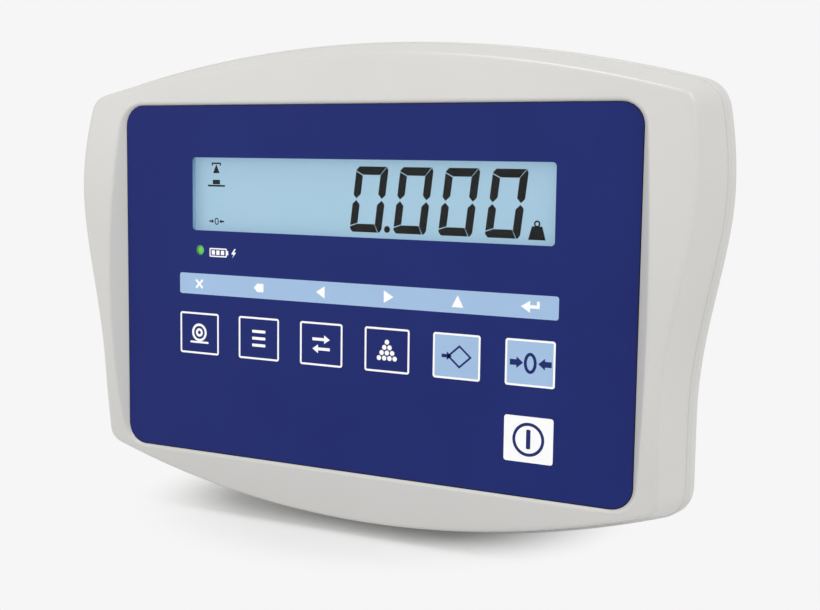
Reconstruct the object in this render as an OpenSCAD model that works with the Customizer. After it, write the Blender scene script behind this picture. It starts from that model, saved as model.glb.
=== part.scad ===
// Weighing indicator: moulded housing with a curved front, a sunk film panel with seven keys,
// a wide display, two circuit boards and a rechargeable battery.
// X runs to the right, Y to the back and Z up. The origin lies under the middle, on the floor.

/* [Panel] */
// How far the printed front film reaches beyond the front board at each side
panel_side = 14; // [11:0.1:16]
// Height of the printed front film
panel_h = 142; // [136:0.5:145]
// Corner radius of the film
panel_r = 8.2; // [3:0.1:14]
// Thickness of the film
film_t = 0.4; // [0.25:0.05:0.8]
// Gap between the film's edge and its sunk seat
film_gap = 0.4; // [0.1:0.05:0.8]

/* [Housing outline] */
// Width of the front beside the film at its shoulders
shoulder_side = 21; // [18:0.1:26]
// Width of the front beside the film at its waist
waist_side = 10.2; // [9:0.1:14]
// Height of the top edge above the main board
top_clear = 24.3; // [22:0.1:30]
// Depth of the bottom edge below the front board
bottom_clear = 31.8; // [29:0.1:38]
// Radius of the arched top edge
top_r = 504; // [450:1:700]
// Radius of the arched bottom edge
bottom_r = 367; // [340:1:500]
// Height of the widest place above the panel's centre
shoulder_z = 43; // [38:0.5:48]
// How far the sides draw in from there to the upper corners
shoulder_in = 3; // [1:0.1:5]
// Height over which they draw in
shoulder_run = 29; // [26:0.5:34]
// Depth below the panel's centre where the waist is reached
waist_z = 42; // [34:0.5:50]
// How far the blend of each corner reaches
corner_reach = 5; // [3:0.1:7]

/* [Housing depth] */
// How far the curved front stands before the panel at mid height
front_proud = 6.5; // [5.4:0.1:8]
// Radius of the front, curved about a level line
front_r = 471; // [440:1:700]
// Radius of the front's outer edge
crease_r = 2.4; // [1:0.1:3]
// Depth of the joint between the shells behind the panel's face
parting_y = 20; // [18:0.5:23]
// How far the walls flare out from the front edge to that joint
parting_flare = 3.6; // [2.6:0.1:4.2]
// Height of the bead that runs round just before the joint
bead_h = 0.5; // [0.2:0.05:0.8]
// Width of that bead
bead_w = 2; // [1.4:0.1:3]
// How far the walls flare out at the deepest part of the outline
full_flare = 4.7; // [4.3:0.1:6]
// Depth of the widest outline behind the panel's face
full_y = 25; // [24:0.5:28]
// Depth of the back behind the panel's face
back_y = 74; // [72:0.5:84]
// How far each side draws in towards the back
back_in_side = 20; // [14:0.5:22]
// How far the top draws in towards the back
back_in_top = 9; // [7:0.5:10]
// How far the underside lifts where it rounds into the back
back_lift = 2; // [1:0.1:2.4]
// Thickness of the moulded walls
wall_t = 2.5; // [2:0.1:3]
// Width of the sealing rim inside the joint
rim_w = 3; // [2.6:0.1:4]
// Depth of that rim on each shell
rim_t = 4; // [3:0.1:5]

/* [Display] */
// Width of the clear window in the film
window_w = 159.2; // [150:0.2:160]
// Height of the clear window
window_h = 29.6; // [27:0.2:31]
// Window's centre to the right of the panel's centre
window_x = 1.2; // [0:0.1:2]
// Window's centre above the panel's centre
window_z = 35.4; // [34:0.2:37]
// Corner radius of the window
window_r = 1.5; // [0.5:0.1:3]
// Thickness of the clear lens behind the film
lens_t = 1; // [0.8:0.1:1.5]
// Width of the lens's glued edge all round
lens_lap = 2.6; // [2:0.1:3.4]
// Thickness of the display glass
glass_t = 2.8; // [2:0.1:3.4]
// Distance from the front wall's inside to the front board
board_gap = 8.3; // [7.6:0.1:9.5]
// Width of the opening in the film for the charging light
light_d = 4.1; // [3:0.1:4.6]
// How far the light stands in from the window's left end
light_in = 3.8; // [3:0.1:10]
// Depth of the light below the window
light_drop = 8.1; // [7.9:0.1:10]
// Diameter of the lamp behind it
lamp_d = 5; // [4.8:0.1:5.6]

/* [Keys] */
// Width of a key
key_w = 20.2; // [16:0.1:22]
// Height of a key
key_h = 17.9; // [14:0.1:18.6]
// Corner radius of a key
key_r = 1.2; // [0.4:0.1:3]
// Distance between neighbouring keys in the row
key_pitch = 29.48; // [24:0.02:29.6]
// How far the middle of the key row lies left of the panel's centre
row_left = 1.25; // [0:0.05:3]
// Depth of the key row below the panel's centre
key_row_z = 21.9; // [20:0.1:24]
// How far the power key lies below the middle between the key row and the panel's lower edge
power_low = 3.45; // [1:0.05:5]
// How far a key travels when it is pressed
key_travel = 0.3; // [0.15:0.05:0.4]
// Gap all round a key
key_gap = 0.12; // [0.08:0.01:0.25]
// Diameter of a switch stem
stem_d = 3.5; // [3:0.1:4]
// Width of a switch body
switch_w = 6; // [5.6:0.1:8]
// Height of a switch body
switch_h = 3.5; // [3:0.1:4]

/* [Boards] */
// Thickness of both circuit boards
board_t = 1.6; // [1:0.1:2]
// How far the front board reaches beyond the display's tray at each side
board_side = 13.3; // [12.4:0.1:16]
// Height of the front board
board_h = 120; // [118:0.5:122]
// Width of the main board
main_w = 156; // [150:0.5:158]
// Height of the main board
main_h = 66; // [64:0.5:70]
// Gap between the battery's top and the main board
main_gap = 12; // [11:0.1:15]
// Length of the main board's posts
post_l = 10; // [9.5:0.1:12]
// Diameter of the board posts
post_d = 7; // [6:0.1:8]
// Width of the flat cable
ribbon_w = 21; // [12:0.5:26]
// Thickness of the flat cable
ribbon_t = 0.9; // [0.6:0.1:1.2]

/* [Battery] */
// Length of the battery
battery_w = 101; // [95:0.5:103]
// Depth of the battery
battery_t = 47; // [44:0.5:48]
// Height of the battery
battery_h = 70; // [66:0.5:71]
// Height of the battery's underside above the bottom edge
battery_clear = 10.8; // [10.2:0.1:13]
// Thickness of the foam pad behind the battery
foam_t = 2.5; // [1.5:0.1:3]
// Width of the ledge that the battery door rests on
ledge_w = 6; // [5.5:0.1:7]

/* [Fasteners] */
// Diameter of the screws that join the shells
shell_screw_d = 2.9; // [2.4:0.1:3.5]
// Diameter of the small screws on the boards and the battery door
small_screw_d = 2.4; // [2:0.1:2.9]
// Diameter of the shell screws' posts
shell_post_d = 9; // [8.5:0.1:10]
// Gap all round a screw in its hole
screw_gap = 0.05; // [0.03:0.01:0.1]
// Thread diameter of the bracket inserts
insert_d = 4; // [3:0.5:4.5]
// Outer diameter of the bracket inserts
insert_od = 6; // [5.6:0.1:6.5]
// Length of the bracket inserts
insert_l = 7; // [5:0.5:8]
// Bracket inserts' distance across
insert_span_x = 75; // [60:1:90]
// Bracket inserts' distance up
insert_span_z = 50; // [40:1:56]
// Gap between the shells' screw posts and the front board
post_gap = 1.7; // [1:0.1:3]
// How much lower the bottom pair of posts stands
post_drop = 4; // [2:0.1:5]

/* [Feet] */
// Diameter of the rubber feet
foot_d = 10; // [8:0.1:11]
// Thickness of the rubber feet
foot_t = 3; // [2:0.1:4]
// How far the feet stand out under the housing
foot_proud = 1; // [0.6:0.1:1.5]
// Distance between the front feet
front_feet_span = 68; // [60:1:76]
// Distance between the rear feet
rear_feet_span = 104; // [96:1:110]
// Depth of the front feet behind the panel's face
front_feet_y = 38; // [36:0.5:42]
// Depth of the rear feet behind the panel's face
rear_feet_y = 64; // [60:0.5:66]

/* [Connectors] */
// Diameter of the round load cell connector
cell_d = 16; // [14:0.5:18]
// How far the round connector stands out of the back
cell_out = 8; // [6:0.5:10]
// Load cell connector's depth below the panel's centre
cell_z = 42; // [38:0.5:46]
// Width of the serial port's flange
port_w = 31; // [29:0.5:32]
// Height of the serial port's flange
port_h = 12.5; // [12:0.1:13.5]
// Gap between the battery door and the serial port's flange
port_side = 6.25; // [4:0.05:8]
// Serial port's depth below the panel's centre
port_z = 34; // [30:0.5:36]
// Diameter of the power jack
jack_d = 8; // [7:0.5:10]
// Power jack's depth below the panel's centre
jack_z = 62; // [60:0.5:66]

/* [Hidden] */
$fn = 48;

// One overrun serves all cuts that pass a face
cut = 1;

shell_grey = [0.83, 0.83, 0.81];
film_blue = [0.15, 0.19, 0.44];
pale_blue = [0.65, 0.76, 0.90];
board_green = [0.10, 0.34, 0.20];
chip_black = [0.10, 0.10, 0.11];
metal_grey = [0.72, 0.73, 0.74];

// Display glass and its tray, the front board around them and the film around the board
opening_w = window_w + lens_lap;
opening_h = window_h + lens_lap;
glass_side = 2;
glass_edge = 1.8;
glass_w = opening_w + 2 * glass_side;
glass_h = opening_h + 2 * glass_edge;
tray_wall = 1.8;
board_w = glass_w + 2 * tray_wall + 2 * board_side;
panel_w = board_w + 2 * panel_side;
shoulder_w = panel_w + 2 * shoulder_side;
waist_w = panel_w + 2 * waist_side;

// Heights: the battery stands on the bottom, the main board over it, the arched top over both
bottom_drop = board_h / 2 + bottom_clear;
battery_low_z = bottom_drop - battery_clear;
battery_mid_z = battery_h / 2 - battery_low_z;
main_z = battery_h - battery_low_z + main_gap + main_h / 2;
top_rise = main_z + main_h / 2 + top_clear;

// Battery door and the connectors beside it
bay_gap = 0.5;
door_hole_w = battery_w + 2 * bay_gap + wall_t;
door_hole_h = battery_h + 2 * bay_gap;
door_w = door_hole_w + 2 * ledge_w;
door_h = door_hole_h + 2 * ledge_w;
port_x = (door_w + port_w) / 2 + port_side;
cell_x = port_x;

// Levels through the depth, from the panel's face at 0
seat_y = film_t;
wall_back_y = seat_y + wall_t;
board_y = wall_back_y + board_gap;
board_back_y = board_y + board_t;
inner_back_y = back_y - wall_t;
main_y = inner_back_y - post_l - board_t;
switch_y = board_y - switch_h;

// Heights and the middle of the whole depth
floor_z = bottom_drop + full_flare + foot_proud;
mid_y = (back_y + cell_out - front_proud) / 2;

// Puts a piece from the panel's frame into the object's own frame
module placed() {
    translate([0, -mid_y, floor_z]) children();
}

// Rows of points along the outline
top_steps = 10;
corner_steps = 5;
side_steps = 17;

function arc_drop(x, r) = r - sqrt(r * r - x * x);
function front_y(z) = arc_drop(z, front_r) - front_proud;
function top_z(x) = top_rise - arc_drop(x, top_r);
function bottom_z(x) = -bottom_drop + arc_drop(x, bottom_r);
function smooth(t) = t * t * (3 - 2 * t);

// The side: a soft S from the waist to the shoulder, then a slow curve inwards above it
side_bias_share = 1.15;
function side_t(z) = min(1, max(0, (z + waist_z) / (shoulder_z + waist_z)));
function side_x(z) =
    z > shoulder_z ? shoulder_w / 2 - shoulder_in * pow((z - shoulder_z) / shoulder_run, 2)
    : (waist_w + (shoulder_w - waist_w) * smooth(pow(side_t(z), side_bias_share))) / 2;

// Sharp corners, where the side meets the top and bottom arcs, found by going to and fro
function top_corner(x, n) = n == 0 ? [x, top_z(x)] : top_corner(side_x(top_z(x)), n - 1);
function bottom_corner(x, n) = n == 0 ? [x, bottom_z(x)] : bottom_corner(side_x(bottom_z(x)), n - 1);
upper_tip = top_corner(shoulder_w / 2, 8);
lower_tip = bottom_corner(waist_w / 2, 8);
top_end_x = upper_tip[0] - corner_reach;
bottom_end_x = lower_tip[0] - corner_reach;
side_high_z = upper_tip[1] - corner_reach;
side_low_z = lower_tip[1] + corner_reach;

function bend(a, b, c, t) = (1 - t) * (1 - t) * a + 2 * t * (1 - t) * b + t * t * c;
function corner_run(a, b, c) = [for (i = [1 : corner_steps - 1]) bend(a, b, c, i / corner_steps)];
function along(a, b, i, n) = a + (b - a) * i / n;

right_half = concat(
    [for (i = [0 : top_steps]) let (x = along(0, top_end_x, i, top_steps)) [x, top_z(x)]],
    corner_run([top_end_x, top_z(top_end_x)], upper_tip, [side_x(side_high_z), side_high_z]),
    [for (i = [0 : side_steps])
        let (z = along(side_high_z, side_low_z, i, side_steps)) [side_x(z), z]],
    corner_run([side_x(side_low_z), side_low_z], lower_tip, [bottom_end_x, bottom_z(bottom_end_x)]),
    [for (i = [top_steps : -1 : 0]) let (x = along(0, bottom_end_x, i, top_steps)) [x, bottom_z(x)]]);

half_count = len(right_half);
outline = concat(right_half,
    [for (i = [half_count - 2 : -1 : 1]) [-right_half[i][0], right_half[i][1]]]);
count = len(outline);

function unit(v) = v / norm(v);
function outward(i) =
    let (d = outline[(i + 1) % count] - outline[(i + count - 1) % count]) unit([-d[1], d[0]]);
normals = [for (i = [0 : count - 1]) outward(i)];

// Rings of the housing: flared by a distance, level or following the curved front
function level_ring(flare, y) =
    [for (i = [0 : count - 1]) let (p = outline[i] + flare * normals[i]) [p[0], y, p[1]]];
function front_ring(flare, y) =
    [for (i = [0 : count - 1]) let (p = outline[i] + flare * normals[i]) [p[0], front_y(p[1]) + y, p[1]]];

// Rings behind the widest outline draw in, with the underside kept low for the feet
full_base_z = bottom_drop + full_flare;
function drawn_in(ring, y, part, lift) = [for (p = ring)
    [p[0] * (1 - part * back_in_side / (shoulder_w / 2 + full_flare)), y,
     (p[2] + full_base_z) * (1 - (part * back_in_top + lift * back_lift) / (top_rise + full_base_z))
        - full_base_z + lift * back_lift]];

// Joins rings of equal count into a closed solid. The ends are closed between each point of the
// right half and its mirror image, so a curved front stays curved
module loft(rings) {
    n = len(rings[0]);
    half = n / 2;
    last = len(rings) - 1;
    points = [for (r = rings) for (p = r) p];
    walls = [for (k = [0 : last - 1]) for (i = [0 : n - 1]) let (j = (i + 1) % n)
        each [[k * n + i, (k + 1) * n + j, k * n + j], [k * n + i, (k + 1) * n + i, (k + 1) * n + j]]];
    front = [for (i = [0 : half - 1]) let (a = i, b = i + 1, c = (n - b) % n, d = (n - a) % n)
        each concat(c == b ? [] : [[a, b, c]], d == a ? [] : [[a, c, d]])];
    back = [for (f = front) [f[0] + last * n, f[2] + last * n, f[1] + last * n]];
    polyhedron(points = points, faces = concat(walls, front, back), convexity = 6);
}

crease_angles = [0, 30, 60, 90];
module outer_front() {
    bead_y = parting_y - bead_w / 2;
    loft(concat(
        [for (a = crease_angles) front_ring(-crease_r * (1 - sin(a)), crease_r * (1 - cos(a)))],
        [level_ring(parting_flare, parting_y - bead_w),
         level_ring(parting_flare + bead_h, bead_y),
         level_ring(parting_flare, parting_y)]));
}

module inner_front() {
    inset = wall_t + rim_w;
    rim_y = parting_y - rim_t;
    loft([front_ring(-wall_t - crease_r / 2, wall_t),
        level_ring(parting_flare - wall_t - bead_h, rim_y - rim_w),
        level_ring(parting_flare - inset, rim_y),
        level_ring(parting_flare - inset, parting_y + cut)]);
}

// A rounded frame of the panel's recess, sloping outwards to the front
corner_points = 6;
function round_rect(w, h, r, y) = [for (q = [0 : 3]) for (i = [0 : corner_points])
    let (a = 90 - 90 * q - 90 * i / corner_points,
         sx = q < 2 ? 1 : -1,
         sz = q == 0 || q == 3 ? 1 : -1)
    [sx * (w / 2 - r) + r * cos(a), y, sz * (h / 2 - r) + r * sin(a)]];

// Joins rounded frames, fanned from their middles
module frame_loft(rings) {
    n = len(rings[0]);
    last = len(rings) - 1;
    points = concat([for (r = rings) for (p = r) p], [[0, rings[0][0][1], 0], [0, rings[last][0][1], 0]]);
    walls = [for (k = [0 : last - 1]) for (i = [0 : n - 1]) let (j = (i + 1) % n)
        each [[k * n + i, (k + 1) * n + j, k * n + j], [k * n + i, (k + 1) * n + i, (k + 1) * n + j]]];
    m = (last + 1) * n;
    ends = [for (i = [0 : n - 1]) let (j = (i + 1) % n)
        each [[m, i, j], [m + 1, last * n + j, last * n + i]]];
    polyhedron(points = points, faces = concat(walls, ends), convexity = 4);
}

// Sideways run of the recess walls for each unit of depth
cheek_share = 0.79;
module recess(grow, back) {
    rise = front_proud + crease_r + grow;
    w = panel_w + 2 * film_gap + 2 * grow;
    h = panel_h + 2 * film_gap + 2 * grow;
    r = panel_r + film_gap + grow;
    run = cheek_share * rise;
    frame_loft([round_rect(w + 2 * run, h + 2 * run, r + run, -rise),
        round_rect(w, h, r, 0),
        round_rect(w, h, r, back)]);
}

// Flat pieces that face the front, and round pieces along the depth
module rounded(w, h, r) {
    square([w - 2 * r, h], center = true);
    square([w, h - 2 * r], center = true);
    for (x = [-1, 1], z = [-1, 1]) translate([x * (w / 2 - r), z * (h / 2 - r)]) circle(r);
}
module plate(y, t) {
    translate([0, y + t, 0]) rotate([90, 0, 0]) linear_extrude(t) children();
}
module block(x, z, w, h, y, t) {
    translate([x - w / 2, y, z - h / 2]) cube([w, t, h]);
}
module rod(x, z, d, y, l) {
    translate([x, y + l, z]) rotate([90, 0, 0]) cylinder(d = d, h = l);
}

// The shell screws stand round the front board: above it, beside it and below it
post_out = shell_post_d / 2 + post_gap;
screw_places = [for (s = [-1, 1]) each
    [[s * (board_w / 2 + post_gap), board_h / 2 + post_out],
     [s * (board_w / 2 + post_out), 0],
     [s * (port_x + port_w / 2), -board_h / 2 - post_out - post_drop]]];

board_edge = post_d / 2 + small_screw_d / 2;
board_places = [for (x = [-1, 1]) for (z = [-1, 0, 1])
    [x * (board_w / 2 - board_edge), z * (board_h / 2 - board_edge)]];
main_places = [for (x = [-1, 1]) for (z = [-1, 1])
    [x * (main_w / 2 - board_edge), main_z + z * (main_h / 2 - board_edge)]];
insert_places = [for (x = [-1, 1]) for (z = [-1, 1])
    [x * insert_span_x / 2, main_z + z * insert_span_z / 2]];

key_places = concat([for (i = [0 : 5]) [(i - 2.5) * key_pitch - row_left, -key_row_z]],
    [[2.5 * key_pitch - row_left, -(key_row_z + panel_h / 2) / 2 - power_low]]);
light_x = window_w / 2 - window_x - light_in;
light_z = window_z - window_h / 2 - light_drop;

// Display opening, lens and the cuts for keys and light
lens_w = window_w + 2 * lens_lap;
lens_h = window_h + 2 * lens_lap;
lens_gap = 0.15;
travel_room = 2 * key_travel;
stem_hole_d = stem_d + 2 * travel_room;
lamp_hole_d = lamp_d + 2 * lens_gap;

module panel_cuts() {
    translate([window_x, 0, window_z]) {
        plate(seat_y - cut, cut + lens_t)
            rounded(lens_w + 2 * lens_gap, lens_h + 2 * lens_gap, window_r);
        plate(seat_y, wall_t + cut) rounded(opening_w, opening_h, window_r);
    }
    for (p = key_places) {
        translate([p[0], 0, p[1]]) plate(seat_y - cut, cut + travel_room)
            rounded(key_w + 2 * key_gap, key_h + 2 * key_gap, key_r);
        rod(p[0], p[1], stem_hole_d, seat_y, wall_t + cut);
    }
    rod(-light_x, light_z, lamp_hole_d, seat_y - cut, wall_t + 2 * cut);
}

front_post_y = seat_y + wall_t / 5;
screw_end_y = wall_back_y + wall_t;
module front_shell() {
    color(shell_grey) placed() difference() {
        union() {
            difference() {
                outer_front();
                difference() {
                    inner_front();
                    recess(wall_t, wall_back_y);
                }
                recess(0, seat_y);
            }
            for (p = screw_places) rod(p[0], p[1], shell_post_d, front_post_y, parting_y - front_post_y);
            for (p = board_places) rod(p[0], p[1], post_d, front_post_y, board_y - front_post_y);
        }
        panel_cuts();
        for (p = screw_places)
            rod(p[0], p[1], shell_screw_d + 2 * screw_gap, screw_end_y, parting_y + cut - screw_end_y);
        for (p = board_places)
            rod(p[0], p[1], small_screw_d + 2 * screw_gap, screw_end_y, board_y + cut - screw_end_y);
    }
}

// The rear shell's profile as shares: of the depth from the widest outline to the back, of the
// full draw-in, and of the underside's lift
back_profile_shares = [[0.3, 0.14, 0], [0.6, 0.40, 0], [0.8, 0.64, 0], [0.91, 0.80, 0.12],
    [0.97, 0.91, 0.4], [1, 1.04, 1]];
function back_rings(flare, deep) = [for (s = back_profile_shares)
    drawn_in(level_ring(flare, 0), full_y + s[0] * (deep - full_y), s[1], s[2])];

module outer_rear() {
    loft(concat([level_ring(parting_flare, parting_y),
        level_ring(full_flare - bead_h, parting_y + bead_w / 2),
        level_ring(full_flare, full_y)], back_rings(full_flare, back_y)));
}

module inner_rear() {
    inset = wall_t + rim_w;
    rim_y = parting_y + rim_t;
    loft(concat([level_ring(parting_flare - inset, parting_y - cut),
        level_ring(parting_flare - inset, rim_y),
        level_ring(full_flare - wall_t, rim_y + rim_w)],
        back_rings(full_flare - wall_t, inner_back_y)));
}

// Seal in the rim: a band between two flares of the outline
seal_w = rim_w / 2;
seal_flare = parting_flare - wall_t;
seal_t = 1.2;
module seal_band(grow, y, t) {
    difference() {
        loft([level_ring(seal_flare + grow, y), level_ring(seal_flare + grow, y + t)]);
        loft([level_ring(seal_flare - seal_w - grow, y - cut),
            level_ring(seal_flare - seal_w - grow, y + t + cut)]);
    }
}
seal_gap = 0.1;

// Battery bay and its door
battery_back_y = inner_back_y - foam_t;
battery_y = battery_back_y - battery_t;
door_gap = 0.3;
door_r = 3;
door_post_l = 6;
door_screw_l = 7;
door_head_t = 1.4;
door_places = [for (x = [-1, 1]) for (z = [-1, 1])
    [x * (door_w - ledge_w) / 2, battery_mid_z + z * (door_h - ledge_w) / 2]];
shelf_y = battery_y + battery_t / 4;

module bay() {
    block(0, battery_mid_z, door_w + ledge_w, door_h + ledge_w / 2,
        inner_back_y - wall_t, wall_t + wall_t / 2);
    for (s = [-1, 1]) {
        block(s * (battery_w + wall_t + 2 * bay_gap) / 2, battery_mid_z - battery_h / 4,
            wall_t, battery_h / 2, shelf_y, inner_back_y - shelf_y);
    }
    block(0, -battery_low_z - wall_t / 2, battery_w + 2 * wall_t, wall_t,
        shelf_y, inner_back_y - shelf_y);
    for (x = [-2 : 2]) {
        block(x * battery_w / 5, -battery_low_z - wall_t - ledge_w / 2, wall_t, ledge_w + cut,
            shelf_y, inner_back_y - shelf_y);
    }
    for (p = door_places)
        rod(p[0], p[1], ledge_w, inner_back_y - wall_t - door_post_l, door_post_l + wall_t);
}

foot_places = [for (s = [-1, 1]) each
    [[s * front_feet_span / 2, front_feet_y], [s * rear_feet_span / 2, rear_feet_y]]];
foot_rim = 2;
foot_seat_out = foot_proud - foot_proud / 5;
foot_boss_z = full_base_z + foot_proud / 5;
foot_boss_h = foot_t + 3 * wall_t;
seat_gap = 0.1;

head_t = 2.4;
head_d = 5.6;
head_y = parting_y + 2 * rim_t;
tool_d = head_d + 2 * bay_gap;

port_body_w = 19.3;
port_body_h = 10.6;
port_body_l = 10;
cell_in = 14;
jack_in = 14;
port_flange_t = 1;
port_lip = 6;
post_span = 25;
serial_post_d = 5;
serial_thread_d = 2.8;

module rear_bosses() {
    for (p = screw_places) rod(p[0], p[1], shell_post_d, parting_y, back_y - parting_y - wall_t / 2);
    for (p = main_places) rod(p[0], p[1], post_d, main_y + board_t, post_l + wall_t / 2);
    for (p = insert_places) rod(p[0], p[1], insert_od + wall_t, back_y - insert_l - wall_t / 2, insert_l);
    for (p = foot_places) translate([p[0], p[1], -foot_boss_z])
        cylinder(d = foot_d + 2 * foot_rim, h = foot_boss_h);
}

module rear_cuts() {
    for (p = screw_places) {
        rod(p[0], p[1], shell_screw_d + 2 * screw_gap + seat_gap,
            parting_y - cut, head_y - parting_y + 2 * cut);
        rod(p[0], p[1], tool_d, head_y, back_y - head_y + cut);
    }
    for (p = main_places)
        rod(p[0], p[1], small_screw_d + 2 * screw_gap, main_y, post_l);
    for (p = insert_places) rod(p[0], p[1], insert_od, back_y - insert_l, insert_l + cut);
    for (p = foot_places) translate([p[0], p[1], -foot_boss_z - cut])
        cylinder(d = foot_d + 2 * seat_gap, h = cut + foot_t - foot_seat_out);
    translate([0, 0, battery_mid_z]) {
        plate(inner_back_y - wall_t - cut, 2 * wall_t)
            rounded(door_hole_w, door_hole_h, door_r - door_gap);
        plate(inner_back_y, wall_t + cut) rounded(door_w, door_h, door_r);
    }
    for (p = door_places)
        rod(p[0], p[1], small_screw_d + 2 * screw_gap,
            back_y - door_head_t - door_screw_l - cut, door_screw_l + cut);
    rod(cell_x, -cell_z, cell_d + 2 * seat_gap, inner_back_y - cut, wall_t + 2 * cut);
    block(-port_x, -port_z, port_body_w + 2 * seat_gap, port_body_h + 2 * seat_gap,
        inner_back_y - cut, wall_t + 2 * cut);
    for (s = [-1, 1]) rod(s * post_span / 2 - port_x, -port_z, small_screw_d + 2 * bay_gap,
        inner_back_y - cut, wall_t + 2 * cut);
    rod(-port_x, -jack_z, jack_d + 2 * seat_gap, inner_back_y - cut, wall_t + 2 * cut);
}

module rear_shell() {
    color(shell_grey) placed() difference() {
        union() {
            difference() {
                outer_rear();
                inner_rear();
            }
            bay();
            rear_bosses();
        }
        rear_cuts();
        seal_band(seal_gap, parting_y - cut, seal_t + cut + seal_gap);
    }
}

module shell_gasket() {
    color([0.16, 0.16, 0.17]) placed() seal_band(0, parting_y, seal_t);
}

module battery_door() {
    color(shell_grey) placed() difference() {
        translate([0, 0, battery_mid_z]) plate(inner_back_y, wall_t)
            rounded(door_w - 2 * door_gap, door_h - 2 * door_gap, door_r);
        for (p = door_places) {
            rod(p[0], p[1], small_screw_d + 2 * screw_gap + seat_gap,
                inner_back_y - cut, wall_t + 2 * cut);
            rod(p[0], p[1], head_d, back_y - door_head_t, door_head_t + cut);
        }
    }
}

module rubber_feet() {
    color(chip_black) placed() for (p = foot_places) translate([p[0], p[1], -floor_z])
        cylinder(d = foot_d, h = foot_t);
}

module mount_inserts() {
    color([0.78, 0.62, 0.30]) placed() for (p = insert_places) difference() {
        rod(p[0], p[1], insert_od - 2 * screw_gap, back_y - insert_l, insert_l);
        rod(p[0], p[1], insert_d, back_y - insert_l - cut, insert_l + 2 * cut);
    }
}

// A pan-head screw seen from behind: shank towards the front, a cross slot in the head
slot_share = 0.18;
module screw(x, z, d, tip_y, under_y, cap_d, cap_t) {
    difference() {
        union() {
            rod(x, z, d, tip_y, under_y - tip_y);
            rod(x, z, cap_d, under_y, cap_t);
        }
        block(x, z, cap_d * slot_share, cap_d / 2, under_y + cap_t / 2, cap_t);
        block(x, z, cap_d / 2, cap_d * slot_share, under_y + cap_t / 2, cap_t);
    }
}

module shell_screws() {
    color(metal_grey) placed() for (p = screw_places)
        screw(p[0], p[1], shell_screw_d, screw_end_y + wall_t, head_y, head_d, head_t);
}
module door_screws() {
    color(metal_grey) placed() for (p = door_places)
        screw(p[0], p[1], small_screw_d, back_y - door_head_t - door_screw_l, back_y - door_head_t,
            head_d - 2 * seat_gap, door_head_t);
}

module overlay_film() {
    color(film_blue) placed() difference() {
        plate(0, film_t) rounded(panel_w, panel_h, panel_r);
        translate([window_x, 0, window_z]) plate(-cut, film_t + 2 * cut)
            rounded(window_w, window_h, window_r);
        for (p = key_places) translate([p[0], 0, p[1]]) plate(-cut, film_t + 2 * cut)
            rounded(key_w + 2 * key_gap, key_h + 2 * key_gap, key_r);
        rod(-light_x, light_z, light_d, -cut, film_t + 2 * cut);
    }
}

module window_lens() {
    color([0.8, 0.88, 0.92, 0.5]) placed() translate([window_x, 0, window_z])
        plate(seat_y, lens_t) rounded(lens_w, lens_h, window_r);
}

// A key is a free area of the film; its stem stands between it and the push switch
stem_in = 1.2;
stem_gap = 0.08;
module key(i, tint) {
    color(tint) placed() translate([key_places[i][0], 0, key_places[i][1]])
        plate(0, film_t) rounded(key_w, key_h, key_r);
}
module stem(i) {
    color([0.92, 0.92, 0.90]) placed()
        rod(key_places[i][0], key_places[i][1], stem_d, film_t, switch_y + stem_in - film_t);
}

module switch_bodies() {
    color(chip_black) placed() for (p = key_places) difference() {
        block(p[0], p[1], switch_w, switch_w, switch_y, switch_h);
        rod(p[0], p[1], stem_d + 2 * stem_gap, switch_y - cut, cut + stem_in + travel_room);
    }
}

// Display: a tray holds the glass and the backlight against the front board
tray_lip_t = 0.8;
glass_gap = 0.2;
glass_y = wall_back_y + tray_lip_t;
light_y = glass_y + glass_t;

module lcd_frame() {
    color([0.85, 0.85, 0.84]) placed() translate([window_x, 0, window_z]) difference() {
        plate(wall_back_y, board_gap) rounded(glass_w + 2 * tray_wall, glass_h + 2 * tray_wall, window_r);
        plate(wall_back_y - cut, board_gap) rounded(opening_w, opening_h, window_r);
        block(0, 0, glass_w + 2 * glass_gap, glass_h + 2 * glass_gap, glass_y, board_gap);
    }
}
module lcd_glass() {
    color([0.62, 0.74, 0.78]) placed() translate([window_x, 0, window_z]) union() {
        block(0, 0, glass_w, glass_h, glass_y, glass_t / 2);
        block(0, glass_t / 2, glass_w, glass_h - glass_t, glass_y, glass_t);
    }
}
module backlight() {
    color([0.90, 0.95, 1]) placed() block(window_x, window_z, glass_w, glass_h, light_y, board_y - light_y);
}

lamp_flange_t = 1;
lamp_leg = 0.6;
lamp_front_y = seat_y + lens_gap;
lamp_base_y = board_y - lamp_flange_t;
module charge_led() {
    color([0.42, 0.75, 0.38]) placed() translate([-light_x, 0, light_z]) {
        translate([0, lamp_front_y + lamp_d / 2, 0]) rotate([90, 0, 0]) sphere(d = lamp_d);
        rod(0, 0, lamp_d, lamp_front_y + lamp_d / 2, lamp_base_y - lamp_front_y - lamp_d / 2);
        rod(0, 0, lamp_d + lamp_leg, lamp_base_y, lamp_flange_t);
        for (s = [-1, 1])
            rod(s * lamp_d / 4, 0, lamp_leg, lamp_base_y, board_back_y + lamp_flange_t - lamp_base_y);
    }
}

module display_board() {
    color(board_green) placed() difference() {
        plate(board_y, board_t) rounded(board_w, board_h, window_r);
        for (p = board_places)
            rod(p[0], p[1], small_screw_d + 2 * screw_gap + seat_gap, board_y - cut, board_t + 2 * cut);
        for (s = [-1, 1])
            rod(s * lamp_d / 4 - light_x, light_z, lamp_leg + 2 * seat_gap,
                board_y - cut, board_t + 2 * cut);
    }
}

// Chips on the back of the front board: places as shares of half the board
chip_w = 14;
chip_t = 1.6;
driver_place_shares = [[-0.45, 0.35], [0.45, 0.35], [-0.15, -0.45]];
module driver_chips() {
    color(chip_black) placed() for (p = driver_place_shares)
        block(p[0] * board_w / 2, p[1] * board_h / 2, chip_w, chip_w, board_back_y, chip_t);
}

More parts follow.
